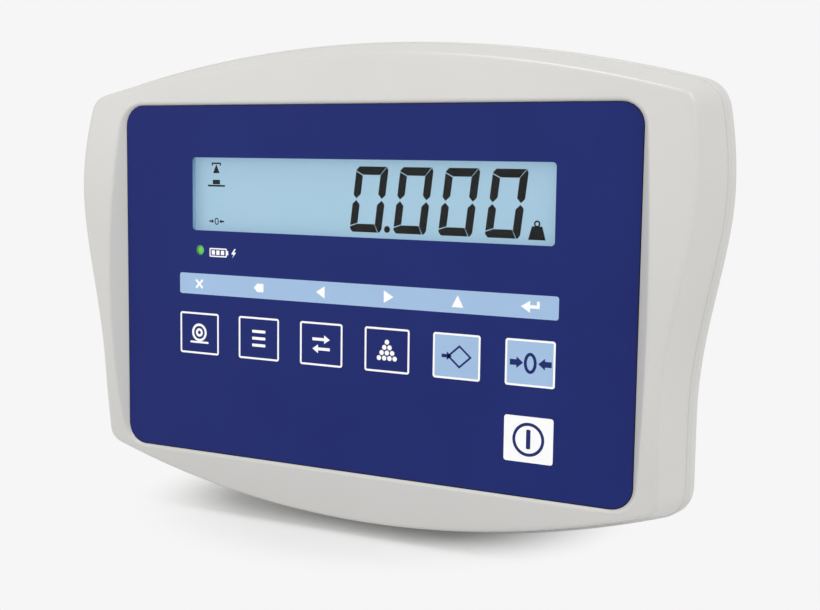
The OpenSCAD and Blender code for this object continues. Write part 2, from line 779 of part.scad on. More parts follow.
small_head_d = 4.6;
small_head_t = 1.8;
module board_screws() {
    color(metal_grey) placed() for (p = board_places)
        screw(p[0], p[1], small_screw_d, screw_end_y + wall_t / 2, board_back_y,
            small_head_d, small_head_t);
}

// Flat cable between the boards, along a soft S
header_t = 6;
header_h = 8;
front_header_z = 12;
main_header_z = main_z;
front_header_y = board_back_y + header_t;
main_header_y = main_y - header_t;
module ribbon_headers() {
    color([0.22, 0.22, 0.24]) placed() {
        block(0, front_header_z, ribbon_w + header_t / 2, header_h, board_back_y, header_t);
        block(0, main_header_z, ribbon_w + header_t / 2, header_h, main_header_y, header_t);
    }
}
ribbon_steps = 24;
function ribbon_point(t) = [along(front_header_y, main_header_y, t, 1),
    along(front_header_z, main_header_z, smooth(smooth(t)), 1)];
function ribbon_side(s) = [for (i = [0 : ribbon_steps])
    let (t = i / ribbon_steps, a = ribbon_point(max(0, t - 0.5 / ribbon_steps)),
         b = ribbon_point(min(1, t + 0.5 / ribbon_steps)), d = unit(b - a))
    ribbon_point(t) + s * ribbon_t / 2 * (i == 0 || i == ribbon_steps ? [0, 1] : [-d[1], d[0]])];
module ribbon_cable() {
    edge = ribbon_side(-1);
    other = ribbon_side(1);
    color([0.62, 0.63, 0.65]) placed() translate([-ribbon_w / 2, 0, 0]) rotate([90, 0, 90])
        linear_extrude(ribbon_w) polygon(concat(edge, [for (i = [ribbon_steps : -1 : 0]) other[i]]));
}

module main_board() {
    color(board_green) placed() difference() {
        translate([0, 0, main_z]) plate(main_y, board_t) rounded(main_w, main_h, window_r);
        for (p = main_places)
            rod(p[0], p[1], small_screw_d + 2 * screw_gap + seat_gap, main_y - cut, board_t + 2 * cut);
    }
}
main_screw_l = 8;
module main_board_screws() {
    color(metal_grey) placed() for (p = main_places) mirror([0, 1, 0])
        screw(p[0], p[1], small_screw_d, -main_y - main_screw_l, -main_y, small_head_d, small_head_t);
}

processor_w = 16;
module processor_chip() {
    color(chip_black) placed()
        block(-main_w / 5, main_z + processor_w / 2, processor_w, processor_w, main_y - chip_t, chip_t);
}
shield_w = 30;
shield_h = 24;
shield_t = 5;
module adc_shield() {
    color(metal_grey) placed()
        block(main_w / 4, main_z - shield_h / 8, shield_w, shield_h, main_y - shield_t, shield_t);
}
buzzer_d = 12;
buzzer_t = 8.5;
buzzer_z = main_z + buzzer_d + shield_h / 4;
module buzzer() {
    color(chip_black) placed() difference() {
        rod(main_w / 4, buzzer_z, buzzer_d, main_y - buzzer_t, buzzer_t);
        rod(main_w / 4, buzzer_z, chip_t, main_y - buzzer_t - cut, cut + chip_t);
    }
}
supply_share = 0.8;
supply_x = -supply_share * main_w / 2;
capacitor_d = 8;
capacitor_t = 11;
capacitor_pitch = 12;
module capacitors() {
    color([0.15, 0.17, 0.30]) placed() for (i = [0 : 2])
        rod(supply_x + i * capacitor_pitch, main_z - capacitor_d,
            capacitor_d, main_y - capacitor_t, capacitor_t);
}
regulator_w = 10;
regulator_t = 4.5;
module regulator() {
    color(chip_black) placed() block(supply_x, main_z + regulator_w, regulator_w, regulator_w,
        main_y - regulator_t, regulator_t);
}

// Sockets along the main board's lower edge that take the leads
wire_header_w = 10;
wire_header_h = 6;
wire_header_t = 7;
wire_header_z = main_z - main_h / 2 + wire_header_h / 2;
wire_header_shares = [-0.795, -0.564, 0.564, 0.795];
module wire_headers() {
    color([0.93, 0.92, 0.88]) placed() for (s = wire_header_shares)
        block(s * main_w / 2, wire_header_z, wire_header_w, wire_header_h,
            main_y - wire_header_t, wire_header_t);
}

module battery() {
    color([0.20, 0.22, 0.26]) placed()
        block(0, battery_mid_z, battery_w, battery_h, battery_y, battery_t);
}
tab_l = 6;
tab_w = 6.3;
tab_t = 0.8;
tab_z = battery_mid_z + battery_h / 3;
tab_ys = [battery_y + battery_t / 3, battery_y + battery_t * 2 / 3];
module battery_terminals() {
    color(metal_grey) placed() for (y = tab_ys)
        translate([battery_w / 2, y - tab_t / 2, tab_z - tab_w / 2]) cube([tab_l, tab_t, tab_w]);
}
module battery_foam() {
    color([0.25, 0.25, 0.26]) placed()
        block(0, battery_mid_z, battery_w - 2 * foam_t, battery_h - 2 * foam_t, battery_back_y, foam_t);
}

// Leads inside the housing: round tubes swept along points chosen by hand
lead_sides = 8;
lead_steps = 3;
function cross_of(t) = unit(cross(t, [0.31, 0.23, 0.92]));
function curve_point(p, i, t) =
    let (a = p[max(0, i - 1)], b = p[i], c = p[i + 1], d = p[min(len(p) - 1, i + 2)])
    0.5 * (2 * b + (c - a) * t + (2 * a - 5 * b + 4 * c - d) * t * t + (3 * b - a - 3 * c + d) * t * t * t);
function curve(p) = concat([for (i = [0 : len(p) - 2]) for (k = [0 : lead_steps - 1])
    curve_point(p, i, k / lead_steps)], [p[len(p) - 1]]);
module lead(route, d) {
    path = curve(route);
    last = len(path) - 1;
    ring = [for (k = [0 : last])
        let (t = k == 0 ? unit(route[1] - route[0])
                : k == last ? unit(route[len(route) - 1] - route[len(route) - 2])
                : unit(path[k + 1] - path[k - 1]),
             u = cross_of(t), v = cross(t, u))
        [for (s = [0 : lead_sides - 1]) let (a = 360 * s / lead_sides)
            path[k] + d / 2 * (cos(a) * u + sin(a) * v)]];
    n = lead_sides;
    walls = [for (k = [0 : last - 1]) for (s = [0 : n - 1]) let (q = (s + 1) % n)
        each [[k * n + s, (k + 1) * n + q, k * n + q], [k * n + s, (k + 1) * n + s, (k + 1) * n + q]]];
    ends = [for (s = [1 : n - 2]) each [[0, s, s + 1], [last * n, last * n + s + 1, last * n + s]]];
    polyhedron(points = [for (r = ring) for (p = r) p], faces = concat(walls, ends), convexity = 4);
}
battery_lead_d = 2.2;
signal_lead_d = 4;
power_lead_d = 3;
// A route's points are laid out from its start, from the battery's upper front edge and from its socket
battery_top_z = battery_h - battery_low_z;
header_y = main_y - wire_header_t / 2;
header_low_z = main_z - main_h / 2;
function from(place, points) = [for (p = points) place + p];
function at_socket(share, points) = from([share * main_w / 2, header_y, header_low_z], points);
red_route = concat(
    from([battery_w / 2 + tab_l, tab_ys[0], tab_z], [[0, 0, 0], [3.5, 0, 0]]),
    from([battery_w / 2, battery_y, battery_top_z], [[11.5, 19, -6], [7.5, 27, 2]]),
    at_socket(wire_header_shares[2], [[4, -2.5, -7], [2, -1.5, -3], [2, -1.5, 0]]));
black_route = concat(
    from([battery_w / 2 + tab_l, tab_ys[1], tab_z], [[0, 0, 0], [2.5, 0, 0]]),
    from([battery_w / 2, battery_y, battery_top_z], [[9.5, 34, -7], [3.5, 36, 0]]),
    at_socket(wire_header_shares[2], [[0, 1.5, -9], [-2, 0.5, -3], [-2, 0.5, 0]]));
cell_route = concat(
    from([cell_x, back_y - cell_in, -cell_z], [[0, 0, 0], [0, -5, 0]]),
    from([battery_w / 2, battery_y, battery_top_z], [[25.5, 26, -23], [18.5, 26, -7], [12.5, 32, 3]]),
    at_socket(wire_header_shares[3], [[0, -0.5, -5], [0, -0.5, 0]]));
serial_route = concat(
    from([-port_x, back_y - port_body_l + port_flange_t, -port_z], [[0, 0, 0], [0, -5, 0]]),
    from([-battery_w / 2, battery_y, battery_top_z], [[-26.5, 29, -16], [-18.5, 27, -4], [-12.5, 32, 3]]),
    at_socket(wire_header_shares[0], [[0, -0.5, -5], [0, -0.5, 0]]));
power_route = concat(
    from([-port_x, back_y - jack_in, -jack_z], [[0, 0, 0], [0, -4, 0], [9, -14, 9]]),
    from([-battery_w / 2, battery_y, battery_top_z], [[-11.5, 22, -23], [-8.5, 25, -3]]),
    at_socket(wire_header_shares[1], [[-6, -3.5, -7], [0, -0.5, -4], [0, -0.5, 0]]));

module battery_lead_red() {
    color([0.70, 0.10, 0.10]) placed() lead(red_route, battery_lead_d);
}
module battery_lead_black() {
    color(chip_black) placed() lead(black_route, battery_lead_d);
}
module load_cell_lead() {
    color([0.30, 0.30, 0.32]) placed() lead(cell_route, signal_lead_d);
}
module serial_lead() {
    color([0.30, 0.30, 0.32]) placed() lead(serial_route, signal_lead_d);
}
module power_lead() {
    color(chip_black) placed() lead(power_route, power_lead_d);
}

// Round load cell connector, with its collar outside and its nut inside
cell_wall = 1.6;
cell_collar_w = 3;
cell_collar_d = cell_d + 2 * cell_collar_w;
cell_collar_t = 2.5;
cell_base_y = back_y - cell_in;
cell_pin_d = 1;
cell_pin_share = 0.27;
nut_t = 2;
module load_cell_socket() {
    color(metal_grey) placed() difference() {
        union() {
            rod(cell_x, -cell_z, cell_d, cell_base_y, cell_in + cell_out);
            rod(cell_x, -cell_z, cell_collar_d, back_y, cell_collar_t);
        }
        rod(cell_x, -cell_z, cell_d - 2 * cell_wall, back_y, cell_out + cut);
    }
}
module load_cell_pins() {
    color([0.85, 0.70, 0.35]) placed() for (a = [0 : 60 : 300])
        rod(cell_x + cell_d * cell_pin_share * cos(a), cell_d * cell_pin_share * sin(a) - cell_z,
            cell_pin_d, back_y, cell_out - cell_wall);
}
module load_cell_nut() {
    color(metal_grey) placed() difference() {
        translate([cell_x, inner_back_y, -cell_z]) rotate([90, 0, 0])
            cylinder(d = cell_collar_d, h = nut_t, $fn = 6);
        rod(cell_x, -cell_z, cell_d + 2 * screw_gap, inner_back_y - nut_t - cut, nut_t + 2 * cut);
    }
}

// Serial port: flange, tapered shell and pins
port_shell_w = 17;
port_shell_h = 8.4;
port_wall = 0.6;
port_taper = 1.2;
port_pin_d = 1;
port_pin_pitch = 2.77;
module d_shape(grow) {
    w = port_shell_w / 2 + grow;
    h = port_shell_h / 2 + grow;
    polygon([[-w, h], [w, h], [w - port_taper, -h], [port_taper - w, -h]]);
}
module port_pin(i, side) {
    rod(i * port_pin_pitch, side * port_pin_pitch / 2, port_pin_d,
        back_y + port_flange_t, port_lip - port_flange_t);
}
module serial_port() {
    color(metal_grey) placed() translate([-port_x, 0, -port_z]) {
        block(0, 0, port_body_w, port_body_h, back_y - port_body_l + port_flange_t,
            port_body_l - port_flange_t);
        difference() {
            plate(back_y, port_flange_t) rounded(port_w, port_h, door_r);
            for (s = [-1, 1])
                rod(s * post_span / 2, 0, small_screw_d + 2 * bay_gap,
                    back_y - cut, port_flange_t + 2 * cut);
        }
        difference() {
            plate(back_y + port_flange_t, port_lip) d_shape(0);
            plate(back_y + port_flange_t, port_lip + cut) d_shape(-port_wall);
        }
        for (i = [-2 : 2]) port_pin(i, 1);
        for (i = [-1.5 : 1.5]) port_pin(i, -1);
    }
}
module serial_posts() {
    color(metal_grey) placed() for (s = [-1, 1]) difference() {
        union() {
            translate([s * post_span / 2 - port_x, back_y + port_lip, -port_z]) rotate([90, 0, 0])
                cylinder(d = serial_post_d, h = port_lip - port_flange_t, $fn = 6);
            rod(s * post_span / 2 - port_x, -port_z, small_screw_d,
                inner_back_y - nut_t, wall_t + nut_t + port_flange_t);
        }
        rod(s * post_span / 2 - port_x, -port_z, serial_thread_d, back_y + 2 * port_flange_t, port_lip);
    }
}

// Power jack with its bore and centre pin
jack_out = 3;
jack_bore_d = 5.6;
jack_bore_l = 9;
jack_pin_d = 2;
module power_jack() {
    color(chip_black) placed() {
        difference() {
            union() {
                rod(-port_x, -jack_z, jack_d, back_y - jack_in, jack_in + jack_out);
                rod(-port_x, -jack_z, jack_d + 2 * jack_pin_d, back_y, nut_t);
            }
            rod(-port_x, -jack_z, jack_bore_d, back_y + jack_out - jack_bore_l, jack_bore_l + cut);
        }
        rod(-port_x, -jack_z, jack_pin_d, back_y + jack_out - jack_bore_l - cut, jack_bore_l);
    }
}
module power_jack_nut() {
    color(metal_grey) placed() difference() {
        translate([-port_x, inner_back_y, -jack_z]) rotate([90, 0, 0])
            cylinder(d = jack_d + 2 * nut_t, h = nut_t, $fn = 6);
        rod(-port_x, -jack_z, jack_d + 2 * screw_gap, inner_back_y - nut_t - cut, nut_t + 2 * cut);
    }
}

front_shell();
rear_shell();
shell_gasket();
battery_door();
rubber_feet();
mount_inserts();
shell_screws();
door_screws();
overlay_film();
window_lens();
key(0, film_blue);  // key_print
key(1, film_blue);  // key_function
key(2, film_blue);  // key_units
key(3, film_blue);  // key_count
key(4, pale_blue);  // key_tare
key(5, pale_blue);  // key_zero
key(6, "white");  // key_power
stem(0);  // stem_print
stem(1);  // stem_function
stem(2);  // stem_units
stem(3);  // stem_count
stem(4);  // stem_tare
stem(5);  // stem_zero
stem(6);  // stem_power
switch_bodies();
lcd_frame();
lcd_glass();
backlight();
charge_led();
display_board();
driver_chips();
board_screws();
ribbon_headers();
ribbon_cable();
main_board();
main_board_screws();
processor_chip();
adc_shield();
buzzer();
capacitors();
regulator();
wire_headers();
battery();
battery_terminals();
battery_foam();
battery_lead_red();
battery_lead_black();
load_cell_socket();
load_cell_pins();
load_cell_nut();
load_cell_lead();
serial_port();
serial_posts();
serial_lead();
power_jack();
power_jack_nut();
power_lead();
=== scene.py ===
import math

import bmesh
import bpy
from mathutils import Matrix, Vector


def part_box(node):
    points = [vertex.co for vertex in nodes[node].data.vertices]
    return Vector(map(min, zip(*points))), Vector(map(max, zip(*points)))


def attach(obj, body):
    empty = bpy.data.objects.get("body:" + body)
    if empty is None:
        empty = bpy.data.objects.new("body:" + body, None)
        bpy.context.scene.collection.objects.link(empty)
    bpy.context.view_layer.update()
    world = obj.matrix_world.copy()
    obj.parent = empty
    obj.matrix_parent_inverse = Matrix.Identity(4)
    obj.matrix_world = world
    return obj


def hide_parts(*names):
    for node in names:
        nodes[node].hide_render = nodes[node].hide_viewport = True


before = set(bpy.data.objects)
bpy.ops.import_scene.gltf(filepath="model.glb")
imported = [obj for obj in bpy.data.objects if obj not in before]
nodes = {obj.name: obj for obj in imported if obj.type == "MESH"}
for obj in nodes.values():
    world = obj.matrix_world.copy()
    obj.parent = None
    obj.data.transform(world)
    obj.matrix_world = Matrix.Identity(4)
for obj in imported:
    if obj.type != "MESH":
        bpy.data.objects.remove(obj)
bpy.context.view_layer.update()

# Everything is drawn in millimetres from the middle of the front film, with Y to the back,
# and put in its place in metres when a piece is finished.
mm = 0.001
oneCorner = 1e-6    # corners within this many metres are one
scene = bpy.context.scene
filmLow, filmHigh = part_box("overlay_film")
panelCentre = Vector(((filmLow.x + filmHigh.x) / 2, filmLow.y, (filmLow.z + filmHigh.z) / 2))


def withMiddle(low, high):
    return low, high, (low + high) / 2


# A node's low corner, high corner and middle
def nodeBox(name):
    low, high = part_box(name)
    return withMiddle((low - panelCentre) / mm, (high - panelCentre) / mm)


def nodeMiddle(name):
    return nodeBox(name)[2]


# The same as nodeBox for each separate solid of a node, from the lowest to the highest
def solidsOf(name):
    bm = bmesh.new()
    bm.from_mesh(nodes[name].data)
    bmesh.ops.remove_doubles(bm, verts=bm.verts, dist=oneCorner)
    left = set(bm.verts)
    boxes = []
    while left:
        start = left.pop()
        reached, waiting = [start], [start]
        while waiting:
            vert = waiting.pop()
            near = {edge.other_vert(vert) for edge in vert.link_edges} & left
            left -= near
            reached += near
            waiting += near
        places = [(v.co - panelCentre) / mm for v in reached]
        boxes.append(withMiddle(Vector([min(p[i] for p in places) for i in range(3)]),
                                Vector([max(p[i] for p in places) for i in range(3)])))
    bm.free()
    return sorted(boxes, key=lambda box: (round(box[0].z), round(box[0].x)))


def steps(start, end, count):
    return [start + (end - start) * i / count for i in range(count + 1)]


# Camera and light
view = {
    "place": (0.25159, -0.46741, 0.14783),
    "looking": (-0.46646, 0.87758, -0.11080),
    "roll": 0.757,
    "lens": 57.16,
    "sensor": 36,
}
lamps = {
    "key": {"place": (0.8, -0.35, 1.5), "size": 0.6, "power": 7.2, "tint": (0.985, 0.99, 1)},
    "soft": {"place": (-0.7, -1.0, 0.7), "size": 0.9, "power": 3.4, "tint": (1, 0.985, 0.95)},
    # only for the edges that mirror it
    "glintAbove": {"place": (-0.22, -0.33, 1.43), "size": 0.4, "power": 5, "glossOnly": True},
}
lampAim = (0, 0, 0.09)
studio = {
    "skyStrength": 0.78,
    "paper": 0.922,
    "floorReach": 3.0,
    "floorGrey": 0.88,
    "shadowMiddle": (-0.02, 0.024, 0),
    "shadowNear": 0.06,
    "shadowFar": 0.113,
    "shadowThin": 0.15,
}


def makeCamera():
    data = bpy.data.cameras.new("camera")
    data.sensor_width = view["sensor"]
    data.lens = view["lens"]
    camera = bpy.data.objects.new("camera", data)
    scene.collection.objects.link(camera)
    turn = Vector(view["looking"]).to_track_quat("-Z", "Y").to_matrix().to_4x4()
    camera.matrix_world = (Matrix.Translation(view["place"]) @ turn
                           @ Matrix.Rotation(math.radians(view["roll"]), 4, "Z"))
    scene.camera = camera


def makeLamp(name, lamp):
    data = bpy.data.lights.new(name, "AREA")
    data.size = lamp["size"]
    data.energy = lamp["power"]
    data.color = lamp.get("tint", (1, 1, 1))
    light = bpy.data.objects.new(name, data)
    light.location = lamp["place"]
    aim = Vector(lampAim) - light.location
    light.rotation_euler = aim.to_track_quat("-Z", "Y").to_euler()
    light.visible_diffuse = not lamp.get("glossOnly", False)
    scene.collection.objects.link(light)


# 1 where the camera looks, also through the window, and 0 for the light that falls on the object
def seenDirectly(tree):
    path = tree.nodes.new("ShaderNodeLightPath")
    direct = tree.nodes.new("ShaderNodeMath")
    direct.operation = "MAXIMUM"
    tree.links.new(path.outputs["Is Camera Ray"], direct.inputs[0])
    tree.links.new(path.outputs["Is Transmission Ray"], direct.inputs[1])
    return direct.outputs[0]


def makeSky():
    world = bpy.data.worlds.new("studio")
    world.use_nodes = True
    scene.world = world
    tree = world.node_tree
    tree.nodes.clear()
    soft = tree.nodes.new("ShaderNodeBackground")
    soft.inputs["Color"].default_value = (1, 1, 1, 1)
    soft.inputs["Strength"].default_value = studio["skyStrength"]
    paper = tree.nodes.new("ShaderNodeBackground")
    paper.inputs["Color"].default_value = (1, 1, 1, 1)
    paper.inputs["Strength"].default_value = studio["paper"]
    pick = tree.nodes.new("ShaderNodeMixShader")
    out = tree.nodes.new("ShaderNodeOutputWorld")
    tree.links.new(seenDirectly(tree), pick.inputs[0])
    tree.links.new(soft.outputs[0], pick.inputs[1])
    tree.links.new(paper.outputs[0], pick.inputs[2])
    tree.links.new(pick.outputs[0], out.inputs[0])


# Plain paper that shows the soft shadow near the object
def makeFloor():
    bm = bmesh.new()
    bmesh.ops.create_grid(bm, x_segments=8, y_segments=8, size=studio["floorReach"])
    mesh = bpy.data.meshes.new("floor")
    bm.to_mesh(mesh)
    bm.free()
    floor = bpy.data.objects.new("floor", mesh)
    scene.collection.objects.link(floor)
    material = bpy.data.materials.new("floorPaper")
    material.use_nodes = True
    tree = material.node_tree
    tree.nodes.clear()
    near = tree.nodes.new("ShaderNodeBsdfDiffuse")
    near.inputs["Color"].default_value = (studio["floorGrey"],) * 3 + (1,)
    far = tree.nodes.new("ShaderNodeEmission")
    far.inputs["Strength"].default_value = studio["paper"]
    coords = tree.nodes.new("ShaderNodeTexCoord")
    reach = tree.nodes.new("ShaderNodeVectorMath")
    reach.operation = "DISTANCE"
    reach.inputs[1].default_value = studio["shadowMiddle"]
    ramp = tree.nodes.new("ShaderNodeMapRange")
    ramp.interpolation_type = "SMOOTHSTEP"
    ramp.inputs["From Min"].default_value = studio["shadowNear"]
    ramp.inputs["From Max"].default_value = studio["shadowFar"]
    ramp.inputs["To Min"].default_value = studio["shadowThin"]
    direct = tree.nodes.new("ShaderNodeMath")
    direct.operation = "MULTIPLY"
    pick = tree.nodes.new("ShaderNodeMixShader")
    out = tree.nodes.new("ShaderNodeOutputMaterial")
    tree.links.new(coords.outputs["Object"], reach.inputs[0])
    tree.links.new(reach.outputs["Value"], ramp.inputs["Value"])
    tree.links.new(ramp.outputs["Result"], direct.inputs[0])
    tree.links.new(seenDirectly(tree), direct.inputs[1])
    tree.links.new(direct.outputs[0], pick.inputs[0])
    tree.links.new(near.outputs[0], pick.inputs[1])
    tree.links.new(far.outputs[0], pick.inputs[2])
    tree.links.new(pick.outputs[0], out.inputs[0])
    mesh.materials.append(material)


makeCamera()
for lampName, lamp in lamps.items():
    makeLamp(lampName, lamp)
makeSky()
makeFloor()
scene.view_settings.view_transform = "Standard"
print("camera, lamps and floor are set")


# Materials
def colour(tone):
    # a colour as it looks on a screen, 0 to 255, for a shader's socket
    parts = [c / 255 for c in tone]
    return tuple(c / 12.92 if c <= 0.04045 else ((c + 0.055) / 1.055) ** 2.4 for c in parts) + (1,)


def newGroup(name, inputs, outputs):
    group = bpy.data.node_groups.new(name, "ShaderNodeTree")
    for label, value in inputs.items():
        socket = group.interface.new_socket(name=label, in_out="INPUT", socket_type="NodeSocketFloat")
        socket.default_value = value
    for label in outputs:
        group.interface.new_socket(name=label, in_out="OUTPUT", socket_type="NodeSocketFloat")
    return group, group.nodes.new("NodeGroupInput"), group.nodes.new("NodeGroupOutput")


grainLook = {"driftSize": 18.0, "driftDetail": 3, "grainSize": 1400.0, "grainDetail": 2,
             "grainRoughness": 0.6}
linesLook = {"lineSize": 900.0, "lineDetail": 2, "stretch": 0.04, "patchSize": 60, "deep": 0.004}


# A moulded skin: slow drift of the tone and a fine spark-eroded texture
def makeGrain():
    group, given, made = newGroup("mouldedGrain", {"Drift Size": grainLook["driftSize"],
                                                   "Grain Size": grainLook["grainSize"]}, ("Drift", "Grain"))
    add, link = group.nodes.new, group.links.new
    coords = add("ShaderNodeTexCoord")
    drift = add("ShaderNodeTexNoise")
    drift.inputs["Detail"].default_value = grainLook["driftDetail"]
    grain = add("ShaderNodeTexNoise")
    grain.inputs["Detail"].default_value = grainLook["grainDetail"]
    grain.inputs["Roughness"].default_value = grainLook["grainRoughness"]
    for noise, size, result in ((drift, "Drift Size", "Drift"), (grain, "Grain Size", "Grain")):
        link(coords.outputs["Object"], noise.inputs["Vector"])
        link(given.outputs[size], noise.inputs["Scale"])
        link(noise.outputs["Fac"], made.inputs[result])
    return group


# Fine parallel lines left by turning or drawing metal
def makeDrawnLines():
    group, given, made = newGroup("drawnLines", {"Line Size": linesLook["lineSize"],
                                                 "Stretch": linesLook["stretch"]}, ("Lines", "Patches"))
    add, link = group.nodes.new, group.links.new
    coords = add("ShaderNodeTexCoord")
    stretch = add("ShaderNodeVectorMath")
    stretch.operation = "MULTIPLY"
    along = add("ShaderNodeCombineXYZ")
    along.inputs["X"].default_value = 1
    along.inputs["Y"].default_value = 1
    lines = add("ShaderNodeTexNoise")
    lines.inputs["Detail"].default_value = linesLook["lineDetail"]
    patches = add("ShaderNodeTexNoise")
    patches.inputs["Scale"].default_value = linesLook["patchSize"]
    link(given.outputs["Stretch"], along.inputs["Z"])
    link(coords.outputs["Object"], stretch.inputs[0])
    link(along.outputs[0], stretch.inputs[1])
    link(stretch.outputs[0], lines.inputs["Vector"])
    link(given.outputs["Line Size"], lines.inputs["Scale"])
    link(coords.outputs["Object"], patches.inputs["Vector"])
    link(lines.outputs["Fac"], made.inputs["Lines"])
    link(patches.outputs["Fac"], made.inputs["Patches"])
    return group


grainGroup = makeGrain()
linesGroup = makeDrawnLines()


def startMaterial(name, roughness, metallic=0.0, specular=0.5):
    material = bpy.data.materials.new(name)
    material.use_nodes = True
    tree = material.node_tree
    shader = tree.nodes["Principled BSDF"]
    shader.inputs["Roughness"].default_value = roughness
    shader.inputs["Metallic"].default_value = metallic
    shader.inputs["Specular IOR Level"].default_value = specular
    return material, tree, shader


def placeGroup(tree, group, values):
    node = tree.nodes.new("ShaderNodeGroup")
    node.node_tree = group
    for label, value in values.items():
        node.inputs[label].default_value = value
    return node


noiseLow, noiseHigh = 0.3, 0.7      # most of a noise's values lie between these


def rangeNode(tree, source, low, high):
    node = tree.nodes.new("ShaderNodeMapRange")
    node.inputs["From Min"].default_value = noiseLow
    node.inputs["From Max"].default_value = noiseHigh
    node.inputs["To Min"].default_value = low
    node.inputs["To Max"].default_value = high
    tree.links.new(source, node.inputs["Value"])
    return node.outputs["Result"]


def mixTones(tree, source, first, second):
    node = tree.nodes.new("ShaderNodeMix")
    node.data_type = "RGBA"
    node.inputs["A"].default_value = colour(first)
    node.inputs["B"].default_value = colour(second)
    tree.links.new(rangeNode(tree, source, 0, 1), node.inputs["Factor"])
    return node.outputs["Result"]


def addBump(tree, shader, source, depth):
    bump = tree.nodes.new("ShaderNodeBump")
    bump.inputs["Distance"].default_value = depth * mm
    tree.links.new(source, bump.inputs["Height"])
    tree.links.new(bump.outputs["Normal"], shader.inputs["Normal"])


# One moulded or printed finish: two near tones that drift, a roughness range and a fine grain
def mouldedMaterial(name, first, second, rough, grain, driftSize=grainLook["driftSize"],
                    grainSize=grainLook["grainSize"], specular=0.5):
    material, tree, shader = startMaterial(name, rough[0], specular=specular)
    skin = placeGroup(tree, grainGroup, {"Drift Size": driftSize, "Grain Size": grainSize})
    tree.links.new(mixTones(tree, skin.outputs["Drift"], first, second), shader.inputs["Base Color"])
    tree.links.new(rangeNode(tree, skin.outputs["Grain"], *rough), shader.inputs["Roughness"])
    addBump(tree, shader, skin.outputs["Grain"], grain)
    return material


def metalMaterial(name, first, second, rough, lineSize=linesLook["lineSize"]):
    material, tree, shader = startMaterial(name, rough[0], metallic=1.0)
    drawn = placeGroup(tree, linesGroup, {"Line Size": lineSize})
    tree.links.new(mixTones(tree, drawn.outputs["Patches"], first, second), shader.inputs["Base Color"])
    tree.links.new(rangeNode(tree, drawn.outputs["Lines"], *rough), shader.inputs["Roughness"])
    addBump(tree, shader, drawn.outputs["Lines"], linesLook["deep"])
    return material


def addGlow(material, tone, strength):
    shader = material.node_tree.nodes["Principled BSDF"]
    shader.inputs["Emission Color"].default_value = colour(tone)
    shader.inputs["Emission Strength"].default_value = strength


def makeClear(material, alpha):
    shader = material.node_tree.nodes["Principled BSDF"]
    shader.inputs["Alpha"].default_value = alpha


housingPlastic = mouldedMaterial("housingPlastic", (205, 204, 201), (209, 208, 205),
                                 (0.31, 0.35), 0.0025, driftSize=14, grainSize=1100)
# the film and its inks share one satin skin
satin = {"rough": (0.42, 0.5), "grain": 0.003, "grainSize": 2600, "specular": 0.12}
filmBlue = mouldedMaterial("filmBlue", (26, 39, 107), (29, 42, 111), driftSize=25, **satin)
stripBlue = mouldedMaterial("stripBlue", (161, 190, 224), (165, 194, 227), driftSize=25, **satin)
printWhite = mouldedMaterial("printWhite", (254, 254, 255), (255, 255, 255), **satin)
printNavy = mouldedMaterial("printNavy", (30, 42, 106), (33, 45, 112), **satin)
windowClear = mouldedMaterial("clearWindow", (120, 132, 142), (126, 138, 148),
                              (0.05, 0.08), 0.0005, grainSize=500)
makeClear(windowClear, 0.02)
# lit from behind, so its own shadows stay faint
displayGlass = mouldedMaterial("displayGlass", (128, 154, 169), (131, 156, 170),
                               (0.3, 0.36), 0.001, driftSize=30, grainSize=3000, specular=0.1)
addGlow(displayGlass, (166, 203, 226), 0.48)
displayBlack = mouldedMaterial("displayBlack", (22, 20, 17), (25, 23, 20),
                               (0.35, 0.45), 0.001, grainSize=3000, specular=0.1)
# the blue of the display's shaded edge band: painted shade, worn by the display's tray and by the strip in
# its opening
displayShadeBlue = mouldedMaterial("displayShadeBlue", (146, 184, 212), (152, 188, 214), (0.45, 0.55), 0.004)
lampGreen = mouldedMaterial("lampGreen", (80, 160, 76), (90, 168, 84),
                            (0.3, 0.4), 0.002, driftSize=400, specular=0.2)
addGlow(lampGreen, (96, 190, 90), 0.6)
rubberBlack = mouldedMaterial("rubberBlack", (38, 38, 40), (46, 46, 47),
                              (0.65, 0.85), 0.02, driftSize=60, grainSize=900)
boardGreen = mouldedMaterial("boardGreen", (24, 84, 50), (30, 98, 58),
                             (0.28, 0.4), 0.006, driftSize=120, grainSize=700)
chipBlack = mouldedMaterial("chipBlack", (28, 28, 30), (38, 38, 40),
                            (0.45, 0.6), 0.01, driftSize=90, grainSize=1600)
switchWhite = mouldedMaterial("switchWhite", (232, 232, 228), (238, 237, 232), (0.35, 0.5), 0.005)
lightGuide = mouldedMaterial("lightGuide", (228, 240, 250), (236, 245, 252), (0.2, 0.3), 0.002)
cableGrey = mouldedMaterial("cableGrey", (120, 122, 126), (132, 134, 138),
                            (0.45, 0.6), 0.01, driftSize=200)
cableBlack = mouldedMaterial("cableBlack", (26, 26, 27), (34, 34, 35),
                             (0.4, 0.55), 0.01, driftSize=200)
cableRed = mouldedMaterial("cableRed", (170, 28, 26), (186, 36, 32),
                           (0.4, 0.55), 0.01, driftSize=200)
sleeveBlue = mouldedMaterial("sleeveBlue", (36, 44, 82), (44, 52, 92), (0.3, 0.4), 0.004)
batteryCase = mouldedMaterial("batteryCase", (52, 56, 64), (60, 64, 72), (0.4, 0.55), 0.01)
foamGrey = mouldedMaterial("foamGrey", (58, 58, 60), (78, 78, 80),
                           (0.8, 0.95), 0.12, driftSize=300, grainSize=600)
steel = metalMaterial("steel", (150, 152, 155), (164, 166, 168), (0.28, 0.42))
nickel = metalMaterial("nickel", (160, 161, 161), (174, 174, 173), (0.2, 0.34), 1300)
brass = metalMaterial("brass", (184, 146, 78), (196, 160, 92), (0.25, 0.4))

